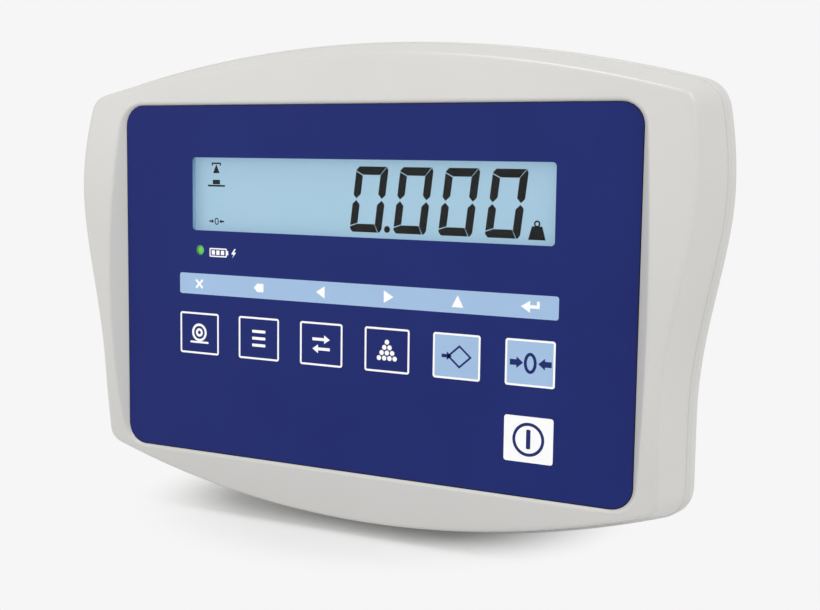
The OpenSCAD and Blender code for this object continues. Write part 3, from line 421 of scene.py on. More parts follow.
# Which finish each node wears
finishes = [
    (housingPlastic, "front_shell rear_shell battery_door"),
    (rubberBlack, "shell_gasket rubber_feet"),
    (brass, "mount_inserts load_cell_pins"),
    (steel, "shell_screws door_screws board_screws main_board_screws battery_terminals adc_shield"),
    (filmBlue, "overlay_film key_print key_function key_units key_count key_tare key_zero key_power"),
    (windowClear, "window_lens"),
    (switchWhite, "stem_print stem_function stem_units stem_count stem_tare stem_zero stem_power"
                  " wire_headers"),
    (chipBlack, "switch_bodies driver_chips processor_chip buzzer regulator ribbon_headers power_jack"),
    (displayShadeBlue, "lcd_frame"),
    (displayGlass, "lcd_glass"),
    (lightGuide, "backlight"),
    (lampGreen, "charge_led"),
    (boardGreen, "display_board main_board"),
    (cableGrey, "ribbon_cable load_cell_lead serial_lead"),
    (cableBlack, "battery_lead_black power_lead"),
    (cableRed, "battery_lead_red"),
    (sleeveBlue, "capacitors"),
    (batteryCase, "battery"),
    (foamGrey, "battery_foam"),
    (nickel, "load_cell_socket load_cell_nut serial_port serial_posts power_jack_nut"),
]
for material, names in finishes:
    for name in names.split():
        nodes[name].data.materials.clear()
        nodes[name].data.materials.append(material)

# Kept nodes whose sharp edges are rounded a little
rounded = {
    "nodes": "load_cell_socket load_cell_nut serial_port serial_posts power_jack power_jack_nut battery"
             " main_board display_board switch_bodies driver_chips buzzer regulator adc_shield"
             " wire_headers ribbon_headers",
    "wide": 0.2,
    "segments": 2,
    "sharperThan": 40,
}
for name in rounded["nodes"].split():
    rounding = nodes[name].modifiers.new("rounding", "BEVEL")
    rounding.width = rounded["wide"] * mm
    rounding.segments = rounded["segments"]
    rounding.limit_method = "ANGLE"
    rounding.angle_limit = math.radians(rounded["sharperThan"])
    rounding.use_clamp_overlap = True
print("materials are on", len(nodes), "nodes")


# Tools for the pieces
smoothUpTo = 35         # degrees; an edge that turns further stays sharp
halvesMeet = 0.001      # the two halves' points that become one
turnMeets = 0.0005      # a turned shape's points that become one
sameSpot = 0.01         # what lies this near is in the same place


# Turns a drawn shape into an object, in metres and in its place
def makeObject(bm, name):
    bmesh.ops.scale(bm, vec=(mm, mm, mm), verts=bm.verts)
    bmesh.ops.translate(bm, vec=panelCentre, verts=bm.verts)
    mesh = bpy.data.meshes.new(name)
    bm.to_mesh(mesh)
    bm.free()
    made = bpy.data.objects.new(name, mesh)
    scene.collection.objects.link(made)
    return made


def smoothMesh(mesh):
    mesh.shade_smooth()
    mesh.set_sharp_from_angle(angle=math.radians(smoothUpTo))


def finishPiece(bm, name, material, body="housing", replaces=()):
    piece = makeObject(bm, name)
    piece.data.materials.append(material)
    smoothMesh(piece.data)
    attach(piece, body)
    if replaces:
        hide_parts(*replaces)
    return piece


def newVerts(result):
    return [g for g in result["geom"] if isinstance(g, bmesh.types.BMVert)]


def thicken(bm, thick):
    # pulls flat faces into plates, to the back if thick is positive
    grown = bmesh.ops.extrude_face_region(bm, geom=bm.faces[:])
    bmesh.ops.translate(bm, vec=(0, thick, 0), verts=newVerts(grown))
    bmesh.ops.recalc_face_normals(bm, faces=bm.faces)


def shapeFace(bm, points, y):
    face = bm.faces.new([bm.verts.new((x, y, z)) for x, z in points])
    face.normal_update()
    return face


def crossPoints(x, z, arm, half, turned=0):
    points = []
    for quarter in range(4):
        way = Matrix.Rotation(math.radians(turned + 90 * quarter), 2)
        points += [Vector((x, z)) + way @ Vector(corner)
                   for corner in ((half, -half), (arm, -half), (arm, half))]
    return points


# Ring by ring: the first one is drawn, each next one is extruded and laid on its own points
def pullRings(bm, rings):
    line = [bm.verts.new(point) for point in rings[0]]
    edges = [bm.edges.new(pair) for pair in zip(line, line[1:])]
    for ring in rings[1:]:
        fresh = set(newVerts(bmesh.ops.extrude_edge_only(bm, edges=edges)))
        line = [next(e.other_vert(v) for e in v.link_edges if e.other_vert(v) in fresh) for v in line]
        edges = [bm.edges.get(pair) for pair in zip(line, line[1:])]
        for vert, point in zip(line, ring):
            vert.co = point


def closeHalves(bm):
    geom = bm.verts[:] + bm.edges[:] + bm.faces[:]
    bmesh.ops.mirror(bm, geom=geom, axis="X", merge_dist=halvesMeet)
    bmesh.ops.holes_fill(bm, edges=bm.edges, sides=0)
    bmesh.ops.recalc_face_normals(bm, faces=bm.faces)


# A turned shape round a line along Y, or along Z; the profile is a closed list of (radius, place)
def turn(bm, at, profile, segments=48):
    spinProfile(bm, Vector((at.x, 0, at.z)), Vector((0, 1, 0)), profile, segments)


def turnUpright(bm, at, profile, segments=48):
    spinProfile(bm, Vector((at.x, at.y, 0)), Vector((0, 0, 1)), profile, segments)


def spinProfile(bm, middle, axis, profile, segments):
    line = [bm.verts.new(middle + Vector((r, 0, 0)) + axis * along) for r, along in profile]
    edges = [bm.edges.new(pair) for pair in zip(line, line[1:] + line[:1])]
    bmesh.ops.spin(bm, geom=line + edges, cent=middle, axis=axis, angle=2 * math.pi,
                   steps=segments, use_merge=True)
    bmesh.ops.remove_doubles(bm, verts=bm.verts, dist=turnMeets)
    # what was drawn along the axis itself has no faces
    bmesh.ops.delete(bm, geom=[e for e in bm.edges if not e.link_faces], context="EDGES")
    bmesh.ops.recalc_face_normals(bm, faces=bm.faces)


def plainProfile(outer, inner, start, end):
    return [(inner, start), (outer, start), (outer, end), (inner, end)]


def roundedProfile(outer, inner, start, end, edge, cuts=4):
    # the same with its two outer corners rounded
    arc = [math.radians(a) for a in steps(0, 90, cuts)]
    near = [(outer - edge + edge * math.sin(a), start + edge * (1 - math.cos(a))) for a in arc]
    far = [(outer - edge + edge * math.cos(a), end - edge * (1 - math.sin(a))) for a in arc]
    return [(inner, start)] + near + far + [(inner, end)]


def roundedBox(bm, at, wide, high, radius, start, end):
    verts = bmesh.ops.create_cube(bm, size=1)["verts"]
    thick = end - start
    bmesh.ops.scale(bm, vec=(wide, thick, high), verts=verts)
    bmesh.ops.translate(bm, vec=(at.x, start + thick / 2, at.z), verts=verts)
    edges = {e for v in verts for e in v.link_edges if abs(e.verts[0].co.y - e.verts[1].co.y) > thick / 2}
    bmesh.ops.bevel(bm, geom=list(edges), offset=radius, segments=8, profile=0.5,
                    affect="EDGES", material=-1)


def cutAway(piece, bm):
    # takes a closed shape, drawn in the same millimetres, out of a finished piece
    cutter = makeObject(bm, "cutter")
    modifier = piece.modifiers.new("cut", "BOOLEAN")
    modifier.operation = "DIFFERENCE"
    modifier.solver = "EXACT"
    modifier.object = cutter
    depsgraph = bpy.context.evaluated_depsgraph_get()
    cut = bpy.data.meshes.new_from_object(piece.evaluated_get(depsgraph))
    piece.modifiers.clear()
    old = piece.data
    piece.data = cut
    cut.name = old.name
    bpy.data.meshes.remove(old)
    bpy.data.objects.remove(cutter)
    smoothMesh(cut)


def cutBox(piece, at, wide, high, radius, start, end):
    bm = bmesh.new()
    roundedBox(bm, at, wide, high, radius, start, end)
    cutAway(piece, bm)


def cutHole(piece, at, radius, start, end, segments):
    bm = bmesh.new()
    turn(bm, at, plainProfile(radius, 0, start, end), segments)
    cutAway(piece, bm)


# The housing's outline and depth
housing = {
    "topRise": 91.3, "topRadius": 504, "bottomDrop": 91.8, "bottomRadius": 367,
    "shoulderWide": 266, "waistWide": 244.4, "shoulderHeight": 43, "waistHeight": -42,
    "sideBias": 1.15, "shoulderIn": 3, "shoulderRun": 29, "cornerReach": 5,
    "frontProud": 6.5, "frontRadius": 471, "crease": 2.0, "creaseTurn": 84, "creaseSteps": 8,
    "parting": 20, "partingFlare": 3.6, "jointIn": 0.8,
    "beadHigh": 0.7, "beadWide": 2.2, "beadTurn": 165, "beadSteps": 9,
    "fullFlare": 4.7, "fullDepth": 25, "back": 74, "backInSide": 20, "backInTop": 9, "backLift": 2,
    "backMiddle": -2, "backEdge": 0.6, "backFlat": 5, "innerBackFlat": 6, "backSteps": 4,
    "wall": 2.5, "rimWide": 3, "rimDeep": 4, "innerIn": 0.1, "innerBehind": 0.4,
    "lip": 1.1, "lipSteps": 5, "cheek": 0.79, "filmGap": 0.4, "filmCorner": 8.2, "seat": 0.4,
    "topSteps": 26, "cornerSteps": 9, "sideSteps": 44,
}
h = housing
rimFlare = h["partingFlare"] - h["wall"] - h["rimWide"]
# Where rings lie between the bead and the crease, and between the crease and the lip
wallShares = (0.06, 0.3, 0.6, 0.88)
faceShares = (0.15, 0.4, 0.65, 0.9)
# The cheek's foot and the seat: how far outside the seat's wall, and how far behind the film
cheekFoot = [(0.22, -0.28), (0.02, 0.02), (-0.06, 0.3), (-0.3, h["seat"]), (-4, h["seat"])]
# The rear half's edge: how far out past the parting line's flare, and how far behind the line
rearEdge = [(-h["jointIn"], 0), (-0.75, 0.35), (0.15, 0.45), (0.5, 0.8), (0.75, 1.9), (1.0, 3.4)]
# The rear tub: shares of the depth, of the draw-in and of the underside's lift
rearShares = [(0, 0, 0), (0.08, 0.05, 0), (0.3, 0.25, 0), (0.6, 0.53, 0), (0.8, 0.72, 0),
              (0.91, 0.84, 0.12), (0.97, 0.93, 0.4), (1, 1.04, 1)]
filmWide = (filmHigh.x - filmLow.x) / mm
filmTall = (filmHigh.z - filmLow.z) / mm


def arcDrop(x, radius):
    return radius - math.sqrt(radius * radius - x * x)


def frontDepth(z):
    return arcDrop(z, h["frontRadius"]) - h["frontProud"]


def topEdge(x):
    return h["topRise"] - arcDrop(x, h["topRadius"])


def bottomEdge(x):
    return arcDrop(x, h["bottomRadius"]) - h["bottomDrop"]


def sideReach(z):
    if z > h["shoulderHeight"]:
        return h["shoulderWide"] / 2 - h["shoulderIn"] * ((z - h["shoulderHeight"]) / h["shoulderRun"]) ** 2
    t = max(0, (z - h["waistHeight"]) / (h["shoulderHeight"] - h["waistHeight"])) ** h["sideBias"]
    return (h["waistWide"] + (h["shoulderWide"] - h["waistWide"]) * t * t * (3 - 2 * t)) / 2


# Where the side meets the top or the bottom; a few rounds settle it
def cornerTip(edge, x):
    for _ in range(8):
        x = sideReach(edge(x))
    return x, edge(x)


def bend(a, b, c, t):
    return (1 - t) ** 2 * a + 2 * t * (1 - t) * b + t * t * c


def cornerRun(start, tip, end):
    start, tip, end = Vector(start), Vector(tip), Vector(end)
    return [tuple(bend(start, tip, end, t)) for t in steps(0, 1, h["cornerSteps"])[1:-1]]


# Right half of the outline, from the top middle round to the bottom middle, with its normals
def halfOutline():
    reach = h["cornerReach"]
    upper = cornerTip(topEdge, h["shoulderWide"] / 2)
    lower = cornerTip(bottomEdge, h["waistWide"] / 2)
    top = [(x, topEdge(x)) for x in steps(0, upper[0] - reach, h["topSteps"])]
    side = [(sideReach(z), z) for z in steps(upper[1] - reach, lower[1] + reach, h["sideSteps"])]
    bottom = [(x, bottomEdge(x)) for x in steps(lower[0] - reach, 0, h["topSteps"])]
    points = (top + cornerRun(top[-1], upper, side[0]) + side
              + cornerRun(side[-1], lower, bottom[0]) + bottom)
    padded = [(-points[1][0], points[1][1])] + points + [(-points[-2][0], points[-2][1])]
    normals = [Vector((a[1] - b[1], b[0] - a[0])).normalized() for a, b in zip(padded, padded[2:])]
    return points, normals


# Right half of the film's recess, with as many points, so that both join one to one
def halfRecess():
    radius = h["filmCorner"] + h["filmGap"]
    x = filmWide / 2 + h["filmGap"] - radius
    z = filmTall / 2 + h["filmGap"] - radius
    quarter = [math.radians(a) for a in steps(90, 0, h["cornerSteps"])[1:-1]]
    arc = [(math.cos(a), math.sin(a)) for a in quarter]
    points = [(px, z + radius) for px in steps(0, x, h["topSteps"])]
    normals = [(0, 1)] * len(points)
    points += [(x + radius * c, z + radius * s) for c, s in arc]
    normals += arc
    points += [(x + radius, pz) for pz in steps(z, -z, h["sideSteps"])]
    normals += [(1, 0)] * (h["sideSteps"] + 1)
    points += [(x + radius * c, -z - radius * s) for c, s in reversed(arc)]
    normals += [(c, -s) for c, s in reversed(arc)]
    points += [(px, -z - radius) for px in steps(x, 0, h["topSteps"])]
    normals += [(0, -1)] * (h["topSteps"] + 1)
    return points, [Vector(n) for n in normals]


outline, outlineNormals = halfOutline()
recess, recessNormals = halfRecess()


def levelRing(flare, y):
    return [Vector((p[0] + flare * n.x, y, p[1] + flare * n.y)) for p, n in zip(outline, outlineNormals)]


def onFront(point, behind=0):
    return Vector((point.x, frontDepth(point.z) + behind, point.z))


def frontRing(flare, behind):
    return [onFront(point, behind) for point in levelRing(flare, 0)]


# A ring of the recess wall, a given distance outside the film's seat
def recessRing(grow, y):
    return [Vector((p[0] + grow * n.x, y, p[1] + grow * n.y)) for p, n in zip(recess, recessNormals)]


# Where the sloping cheek meets the curved face; a few rounds settle it
def recessRim():
    ring = []
    for p, n in zip(recess, recessNormals):
        depth = -frontDepth(p[1])
        for _ in range(4):
            depth = -frontDepth(p[1] + n.y * h["cheek"] * depth)
        run = h["cheek"] * depth
        ring.append(Vector((p[0] + n.x * run, -depth, p[1] + n.y * run)))
    return ring


def frontHousing():
    wall, flare, parting = h["wall"], h["partingFlare"], h["parting"]
    rimStart = parting - h["rimDeep"]
    rim = recessRim()
    wayOut = [Vector((n.x, 0, n.y)) for n in recessNormals]
    behindCheek = [p + w * wall + Vector((0, wall, 0)) for p, w in zip(rim, wayOut)]
    rings = [recessRing(wall, h["seat"] + wall), behindCheek,
             frontRing(-wall - h["innerIn"], wall + h["innerBehind"]),
             levelRing(flare - wall - h["beadHigh"], rimStart - h["rimWide"]),
             levelRing(rimFlare, rimStart), levelRing(rimFlare, parting),
             levelRing(flare - h["jointIn"], parting)]
    # the bead before the joint's edge, then the wall up to the crease
    half = h["beadWide"] / 2
    for a in steps(h["beadTurn"], 0, h["beadSteps"]):
        rings.append(levelRing(flare + h["beadHigh"] * math.sin(math.radians(a)),
                               parting - half - half * math.cos(math.radians(a))))
    foot, crease = rings[-1], frontRing(0, h["crease"])
    rings += [[a.lerp(b, t) for a, b in zip(foot, crease)] for t in wallShares]
    for a in steps(h["creaseTurn"], 0, h["creaseSteps"]):
        rings.append(frontRing(-h["crease"] * (1 - math.sin(math.radians(a))),
                               h["crease"] * (1 - math.cos(math.radians(a)))))
    # the face, the lip, the sloping cheek and the film's seat
    face = rings[-1]
    lipOut = [onFront(p + w * h["lip"]) for p, w in zip(rim, wayOut)]
    rings += [[onFront(a.lerp(b, t)) for a, b in zip(face, lipOut)] for t in faceShares]
    down = [(Vector((0, 1, 0)) - w * h["cheek"]).normalized() for w in wayOut]
    lipIn = [p + d * min(h["lip"], -p.y / 2) for p, d in zip(rim, down)]
    rings += [[bend(a, b, c, t) for a, b, c in zip(lipOut, rim, lipIn)]
              for t in steps(0, 1, h["lipSteps"])]
    rings += [recessRing(grow, behind) for grow, behind in cheekFoot]
    bm = bmesh.new()
    pullRings(bm, rings)
    closeHalves(bm)
    return finishPiece(bm, "frontHousing", housingPlastic, replaces=("front_shell",))


# A smooth run through the listed shares
def smoothShares(points, cuts):
    made = []
    ends = [points[0]] + points + [points[-1]]
    for a, b, c, d in zip(ends, ends[1:], ends[2:], ends[3:]):
        for t in steps(0, 1, cuts)[:-1]:
            made.append([0.5 * (2 * q + (r - p) * t + (2 * p - 5 * q + 4 * r - s) * t * t
                         + (3 * q - p - 3 * r + s) * t ** 3) for p, q, r, s in zip(a, b, c, d)])
    return made + [points[-1]]


def drawnIn(flare, deep, shares):
    base = h["bottomDrop"] + h["fullFlare"]
    depth, part, lift = shares
    narrow = 1 - part * h["backInSide"] / (h["shoulderWide"] / 2 + h["fullFlare"])
    low = 1 - (part * h["backInTop"] + lift * h["backLift"]) / (h["topRise"] + base)
    return [Vector((p.x * narrow, h["fullDepth"] + depth * (deep - h["fullDepth"]),
                    (p.z + base) * low - base + lift * h["backLift"])) for p in levelRing(flare, 0)]


def shrunk(ring, inward):
    # the same ring drawn in by a distance, for the flat back
    middle = Vector((0, 0, h["backMiddle"]))
    made = []
    for p in ring:
        away = Vector((p.x, 0, p.z)) - middle
        made.append(p - away.normalized() * min(inward, away.length / 2))
    for p in (made[0], made[-1]):
        p.x = 0
    return made


def rearHousing():
    wall, parting = h["wall"], h["parting"]
    rimEnd = parting + h["rimDeep"]
    inner = [drawnIn(h["fullFlare"] - wall, h["back"] - wall, s) for s in rearShares[1:]]
    outer = [drawnIn(h["fullFlare"], h["back"], s) for s in smoothShares(rearShares, h["backSteps"])]
    rings = [shrunk(inner[-1], h["innerBackFlat"])] + inner[::-1]
    rings += [levelRing(h["fullFlare"] - wall, rimEnd + h["rimWide"]),
              levelRing(rimFlare, rimEnd), levelRing(rimFlare, parting)]
    rings += [levelRing(h["partingFlare"] + out, parting + behind) for out, behind in rearEdge]
    rings += outer + [shrunk(outer[-1], h["backEdge"]), shrunk(outer[-1], h["backFlat"])]
    bm = bmesh.new()
    pullRings(bm, rings)
    closeHalves(bm)
    return finishPiece(bm, "rearHousing", housingPlastic, replaces=("rear_shell",))


front = frontHousing()
print("front housing:", len(front.data.polygons), "faces")
rear = rearHousing()
print("rear housing:", len(rear.data.polygons), "faces")

# Openings of the front: the window, the keys, their stems and the light
frontFits = {
    "start": -0.2, "lensGap": 0.15, "lensCorner": 1.5,
    "glassSide": 2, "glassTop": 1.8, "glassStart": 0.5, "glassEnd": 4.5,
    "keyGap": 0.12, "keyCorner": 1.2, "keyEnd": 1.0,
    "stemHole": 2.35, "stemStart": 0.5, "lightHole": 2.65, "lightStart": -0.5, "holeEnd": 4,
    "segments": 32,
}
keyNodes = [name for name in nodes if name.startswith("key_")]


def cutFront():
    fit = frontFits
    low, high, at = nodeBox("window_lens")
    lens = high - low
    cutBox(front, at, lens.x + 2 * fit["lensGap"], lens.z + 2 * fit["lensGap"], fit["lensCorner"],
           fit["start"], high.y)
    low, high, _ = nodeBox("lcd_glass")
    glass = high - low
    cutBox(front, at, glass.x - 2 * fit["glassSide"], glass.z - 2 * fit["glassTop"], fit["lensCorner"],
           fit["glassStart"], fit["glassEnd"])
    for name in keyNodes:
        low, high, at = nodeBox(name)
        cutBox(front, at, high.x - low.x + 2 * fit["keyGap"], high.z - low.z + 2 * fit["keyGap"],
               fit["keyCorner"], fit["start"], fit["keyEnd"])
        cutHole(front, at, fit["stemHole"], fit["stemStart"], fit["holeEnd"], fit["segments"])
    cutHole(front, nodeMiddle("charge_led"), fit["lightHole"], fit["lightStart"], fit["holeEnd"],
            fit["segments"])


cutFront()
print("front openings are cut")

# Openings of the rear: the door's, the screws', the inserts' and the connectors'
rearFits = {
    "doorGap": 0.3, "doorCorner": 3.3, "doorStart": 65, "doorEnd": 77,
    "screwHole": 3.3, "screwStart": 26, "insertStart": 66, "holeEnd": 78,
    "socketStart": 60, "loadCellHole": 8.1, "jackHole": 4.1,
    "serialWide": 19.6, "serialHigh": 10.9, "serialCorner": 0.5,
    "segments": 40,
}


def cutRear():
    fit = rearFits
    low, high, at = nodeBox("battery_door")
    cutBox(rear, at, high.x - low.x + 2 * fit["doorGap"], high.z - low.z + 2 * fit["doorGap"],
           fit["doorCorner"], fit["doorStart"], fit["doorEnd"])
    bm = bmesh.new()
    for _, _, at in solidsOf("shell_screws"):
        turn(bm, at, plainProfile(fit["screwHole"], 0, fit["screwStart"], fit["holeEnd"]), fit["segments"])
    for low, high, at in solidsOf("mount_inserts"):
        radius = (high.x - low.x) / 2
        turn(bm, at, plainProfile(radius, 0, fit["insertStart"], fit["holeEnd"]), fit["segments"])
    cutAway(rear, bm)
    bm = bmesh.new()
    for name, hole in (("load_cell_pins", fit["loadCellHole"]), ("power_jack", fit["jackHole"])):
        profile = plainProfile(hole, 0, fit["socketStart"], fit["holeEnd"])
        turn(bm, nodeMiddle(name), profile, fit["segments"])
    roundedBox(bm, nodeMiddle("serial_port"), fit["serialWide"], fit["serialHigh"],
               fit["serialCorner"], fit["socketStart"], fit["holeEnd"])
    cutAway(rear, bm)


posts = {
    "outer": 4.5, "boreStart": 28, "rearStart": 20.1, "rearEnd": 71.6, "rearEdge": 0.2,
    "frontBore": 1.3, "frontStart": 3.2, "frontEnd": 19.9,
}


# Screw posts of the two halves
def housingPosts():
    bore, outer = rearFits["screwHole"], posts["outer"]
    bm = bmesh.new()
    for _, _, at in solidsOf("shell_screws"):
        turn(bm, at, [(bore, posts["boreStart"]), (outer, posts["rearStart"]),
                      (outer, posts["rearEnd"] - posts["rearEdge"]), (bore, posts["rearEnd"])],
             rearFits["segments"])
        turn(bm, at, plainProfile(outer, posts["frontBore"], posts["frontStart"], posts["frontEnd"]),
             rearFits["segments"])
    finishPiece(bm, "screwPosts", housingPlastic)


feet = {
    "edge": 0.45, "bossStart": 0.8, "bossHigh": 10.5, "bossRim": 2, "bossGap": 0.1, "bossEdge": 0.5,
    "plateRim": 0.2, "plateStart": 0.05, "plateEnd": 2,
}


# The feet, and on the housing a boss round each foot and a plate above it
def footBosses():
    bm = bmesh.new()
    for low, high, at in solidsOf("rubber_feet"):
        radius = (high.x - low.x) / 2
        base = low.z + feet["bossStart"]
        turnUpright(bm, at, roundedProfile(radius + feet["bossRim"], radius + feet["bossGap"],
                                           base, base + feet["bossHigh"], feet["bossEdge"]))
        turnUpright(bm, at, plainProfile(radius + feet["plateRim"], 0, high.z + feet["plateStart"],
                                         high.z + feet["plateEnd"]))
    finishPiece(bm, "footBosses", housingPlastic)
    bm = bmesh.new()
    for low, high, at in solidsOf("rubber_feet"):
        turnUpright(bm, at, roundedProfile((high.x - low.x) / 2, 0, low.z, high.z, feet["edge"]))
    finishPiece(bm, "feet", rubberBlack, replaces=("rubber_feet",))


door = {"corner": 3, "edge": 0.45, "edgeSegments": 3, "pocket": 3.4, "pocketStart": 72, "pocketEnd": 75}
doorScrew = {
    "shank": 1.25, "head": 2.7, "headStart": 72.1, "domeStart": 72.9, "domeHigh": 0.9, "domeTurn": 20,
    "domeSteps": 7, "segments": 32, "crossArm": 1.5, "crossHalf": 0.3, "crossCut": 2,
}


def batteryDoor():
    low, high, at = nodeBox("battery_door")
    bm = bmesh.new()
    roundedBox(bm, at, high.x - low.x, high.z - low.z, door["corner"], low.y, high.y)
    rim = [e for e in bm.edges if min(v.co.y for v in e.verts) > high.y - sameSpot]
    bmesh.ops.bevel(bm, geom=rim, offset=door["edge"], segments=door["edgeSegments"], profile=0.5,
                    affect="EDGES", material=-1)
    piece = finishPiece(bm, "batteryDoor", housingPlastic, replaces=("battery_door",))
    bm = bmesh.new()
    for _, _, at in solidsOf("door_screws"):
        turn(bm, at, plainProfile(door["pocket"], 0, door["pocketStart"], door["pocketEnd"]),
             rearFits["segments"])
    cutAway(piece, bm)


def doorScrews():
    s = doorScrew
    arc = [math.radians(a) for a in steps(-s["domeTurn"], 90, s["domeSteps"])]
    dome = [(s["head"] * math.cos(a), s["domeStart"] + s["domeHigh"] * math.sin(a)) for a in arc]
    bm = bmesh.new()
    for low, _, at in solidsOf("door_screws"):
        turn(bm, at, [(0, low.y), (s["shank"], low.y), (s["shank"], s["headStart"])] + dome, s["segments"])
    screws = finishPiece(bm, "doorScrews", steel, replaces=("door_screws",))
    bm = bmesh.new()
    for _, _, at in solidsOf("door_screws"):
        shapeFace(bm, crossPoints(at.x, at.z, s["crossArm"], s["crossHalf"]), s["domeStart"])
    thicken(bm, s["crossCut"])
    cutAway(screws, bm)
    print("door screws:", len(screws.data.polygons), "faces")


insert = {"bore": 1.65, "edge": 0.25, "mouth": 2.05, "mouthDeep": 0.4}


def mountInserts():
    bm = bmesh.new()
    for low, high, at in solidsOf("mount_inserts"):
        skin = roundedProfile((high.x - low.x) / 2, insert["bore"], low.y, high.y, insert["edge"])[1:-1]
        turn(bm, at, [(insert["bore"], low.y + insert["mouthDeep"])] + skin
             + [(insert["mouth"], high.y), (insert["bore"], high.y - insert["mouthDeep"])])
    finishPiece(bm, "mountInserts", brass, replaces=("mount_inserts",))


cutRear()
housingPosts()
footBosses()
batteryDoor()
doorScrews()
mountInserts()
print("rear openings, door, feet and inserts are made")

# Prints are faces drawn flat and then made a thin layer of ink. A mark lies on a printed field.
printThick = 0.03
inkY = -printThick
markY = -2 * printThick


def roundedFace(bm, x, z, wide, high, radius, y, segments=6):
    verts = [bm.verts.new((x + sx * wide / 2, y, z + sz * high / 2))
             for sx, sz in ((-1, -1), (1, -1), (1, 1), (-1, 1))]
    bm.faces.new(verts)
    bmesh.ops.bevel(bm, geom=verts, offset=radius, segments=segments, profile=0.5,
                    affect="VERTICES", material=-1)
    return next(f for f in bm.faces if len(f.verts) >= 4 * segments
                and (f.calc_center_median() - Vector((x, y, z))).length < sameSpot)


def discFace(bm, x, z, wide, high, y, segments=40):
    place = Matrix.Translation((x, y, z)) @ Matrix.Rotation(math.radians(90), 4, "X")
    made = bmesh.ops.create_circle(bm, cap_ends=True, radius=0.5, segments=segments, matrix=place)
    bmesh.ops.scale(bm, vec=(wide, 1, high), space=Matrix.Translation((-x, -y, -z)), verts=made["verts"])
    return next(iter(made["verts"][0].link_faces))


def hollow(bm, face, line):
    # leaves only a line of the face, along its border
    bmesh.ops.inset_region(bm, faces=[face], thickness=line, use_boundary=True, use_even_offset=True)
    bmesh.ops.delete(bm, geom=[face], context="FACES")


def frameFace(bm, x, z, wide, high, radius, line, y):
    hollow(bm, roundedFace(bm, x, z, wide, high, radius, y), line)


def ringFace(bm, x, z, wide, high, line, y):
    hollow(bm, discFace(bm, x, z, wide, high, y), line)


def arrow(bm, tipX, z, way, look, y):
    # way is 1 for an arrow to the right and -1 for one to the left
    back = tipX - way * look["length"]
    neck = tipX - way * look["tip"]
    shaft, head = look["shaft"] / 2, look["head"] / 2
    shapeFace(bm, [(back, z - shaft), (neck, z - shaft), (neck, z - head), (tipX, z),
                   (neck, z + head), (neck, z + shaft), (back, z + shaft)], y)


def finishPrint(bm, name, material, body="housing"):
    thicken(bm, printThick)
    finishPiece(bm, name, material, body)


strip = {"left": -84.8, "right": 83.0, "low": -5.7, "high": 2.85, "corner": 1.0, "signsAt": -1.43}
# Its signs from left to right, each drawn round their middle line
stripSigns = [
    crossPoints(-74.9, 0, 2.4, 0.45, 45),
    [(-47.8, 0), (-46.2, -1.7), (-43.2, -1.7), (-43.2, 1.7), (-46.2, 1.7)],
    [(-18.4, 0), (-14.5, -2.4), (-14.5, 2.4)],
    [(11.9, -2.4), (16.1, 0), (11.9, 2.4)],
    [(40.7, -2.1), (45.5, -2.1), (43.1, 2.4)],
    [(68.4, 0), (72.0, -2.2), (72.0, -0.6), (75.7, -0.6), (75.7, 2.0), (74.6, 2.0), (74.6, 0.6),
     (72.0, 0.6), (72.0, 2.2)],
]


def stripPrint():
    bm = bmesh.new()
    roundedFace(bm, (strip["left"] + strip["right"]) / 2, (strip["low"] + strip["high"]) / 2,
                strip["right"] - strip["left"], strip["high"] - strip["low"], strip["corner"], inkY)
    finishPrint(bm, "stripPrint", stripBlue)
    bm = bmesh.new()
    for sign in stripSigns:
        shapeFace(bm, [(x, strip["signsAt"] + up) for x, up in sign], markY)
    finishPrint(bm, "stripMarks", printWhite)


keyFrame = {"wide": 19.5, "high": 17.15, "corner": 1.0, "line": 0.76, "fieldIn": 0.1}


def keyFramePrint(key):
    at = nodeMiddle("key_" + key)
    bm = bmesh.new()
    frameFace(bm, at.x, at.z, keyFrame["wide"], keyFrame["high"], keyFrame["corner"], keyFrame["line"],
              markY)
    finishPrint(bm, key + "Frame", printWhite, "key_" + key)


# The filled field under a key's sign
def keyFieldPrint(key, material):
    at = nodeMiddle("key_" + key)
    inset = 2 * keyFrame["fieldIn"]
    bm = bmesh.new()
    roundedFace(bm, at.x, at.z, keyFrame["wide"] - inset, keyFrame["high"] - inset, keyFrame["corner"], inkY)
    finishPrint(bm, key + "Field", material, "key_" + key)


# A paper roll on its line
roll = {"x": -0.1, "up": 0.3, "outer": 7.4, "core": 3.5, "line": 1.0,
        "baseUp": -3.75, "baseWide": 9.2, "baseHigh": 0.8, "corner": 0.3}


def drawRoll(bm, at):
    for across in (roll["outer"], roll["core"]):
        ringFace(bm, at.x + roll["x"], at.z + roll["up"], across, across, roll["line"], inkY)
    roundedFace(bm, at.x + roll["x"], at.z + roll["baseUp"], roll["baseWide"], roll["baseHigh"],
                roll["corner"], inkY)


# Three bars for the menu
menuBars = {"wide": 6.4, "high": 1.15, "pitch": 2.8, "corner": 0.3}


def drawMenuBars(bm, at):
    for row in (-1, 0, 1):
        roundedFace(bm, at.x, at.z + row * menuBars["pitch"], menuBars["wide"], menuBars["high"],
                    menuBars["corner"], inkY)


# Two arrows that change places
swapArrows = {"reach": 4, "apart": 1.9, "length": 8, "shaft": 1.15, "head": 3.4, "tip": 2.6}


def drawSwapArrows(bm, at):
    for way in (1, -1):
        arrow(bm, at.x + way * swapArrows["reach"], at.z + way * swapArrows["apart"], way, swapArrows, inkY)


# A pile of ten pieces
pile = {"rows": 4, "top": 3.1, "pitch": 2.29, "rowPitch": 2.07, "across": 1.92, "segments": 24}


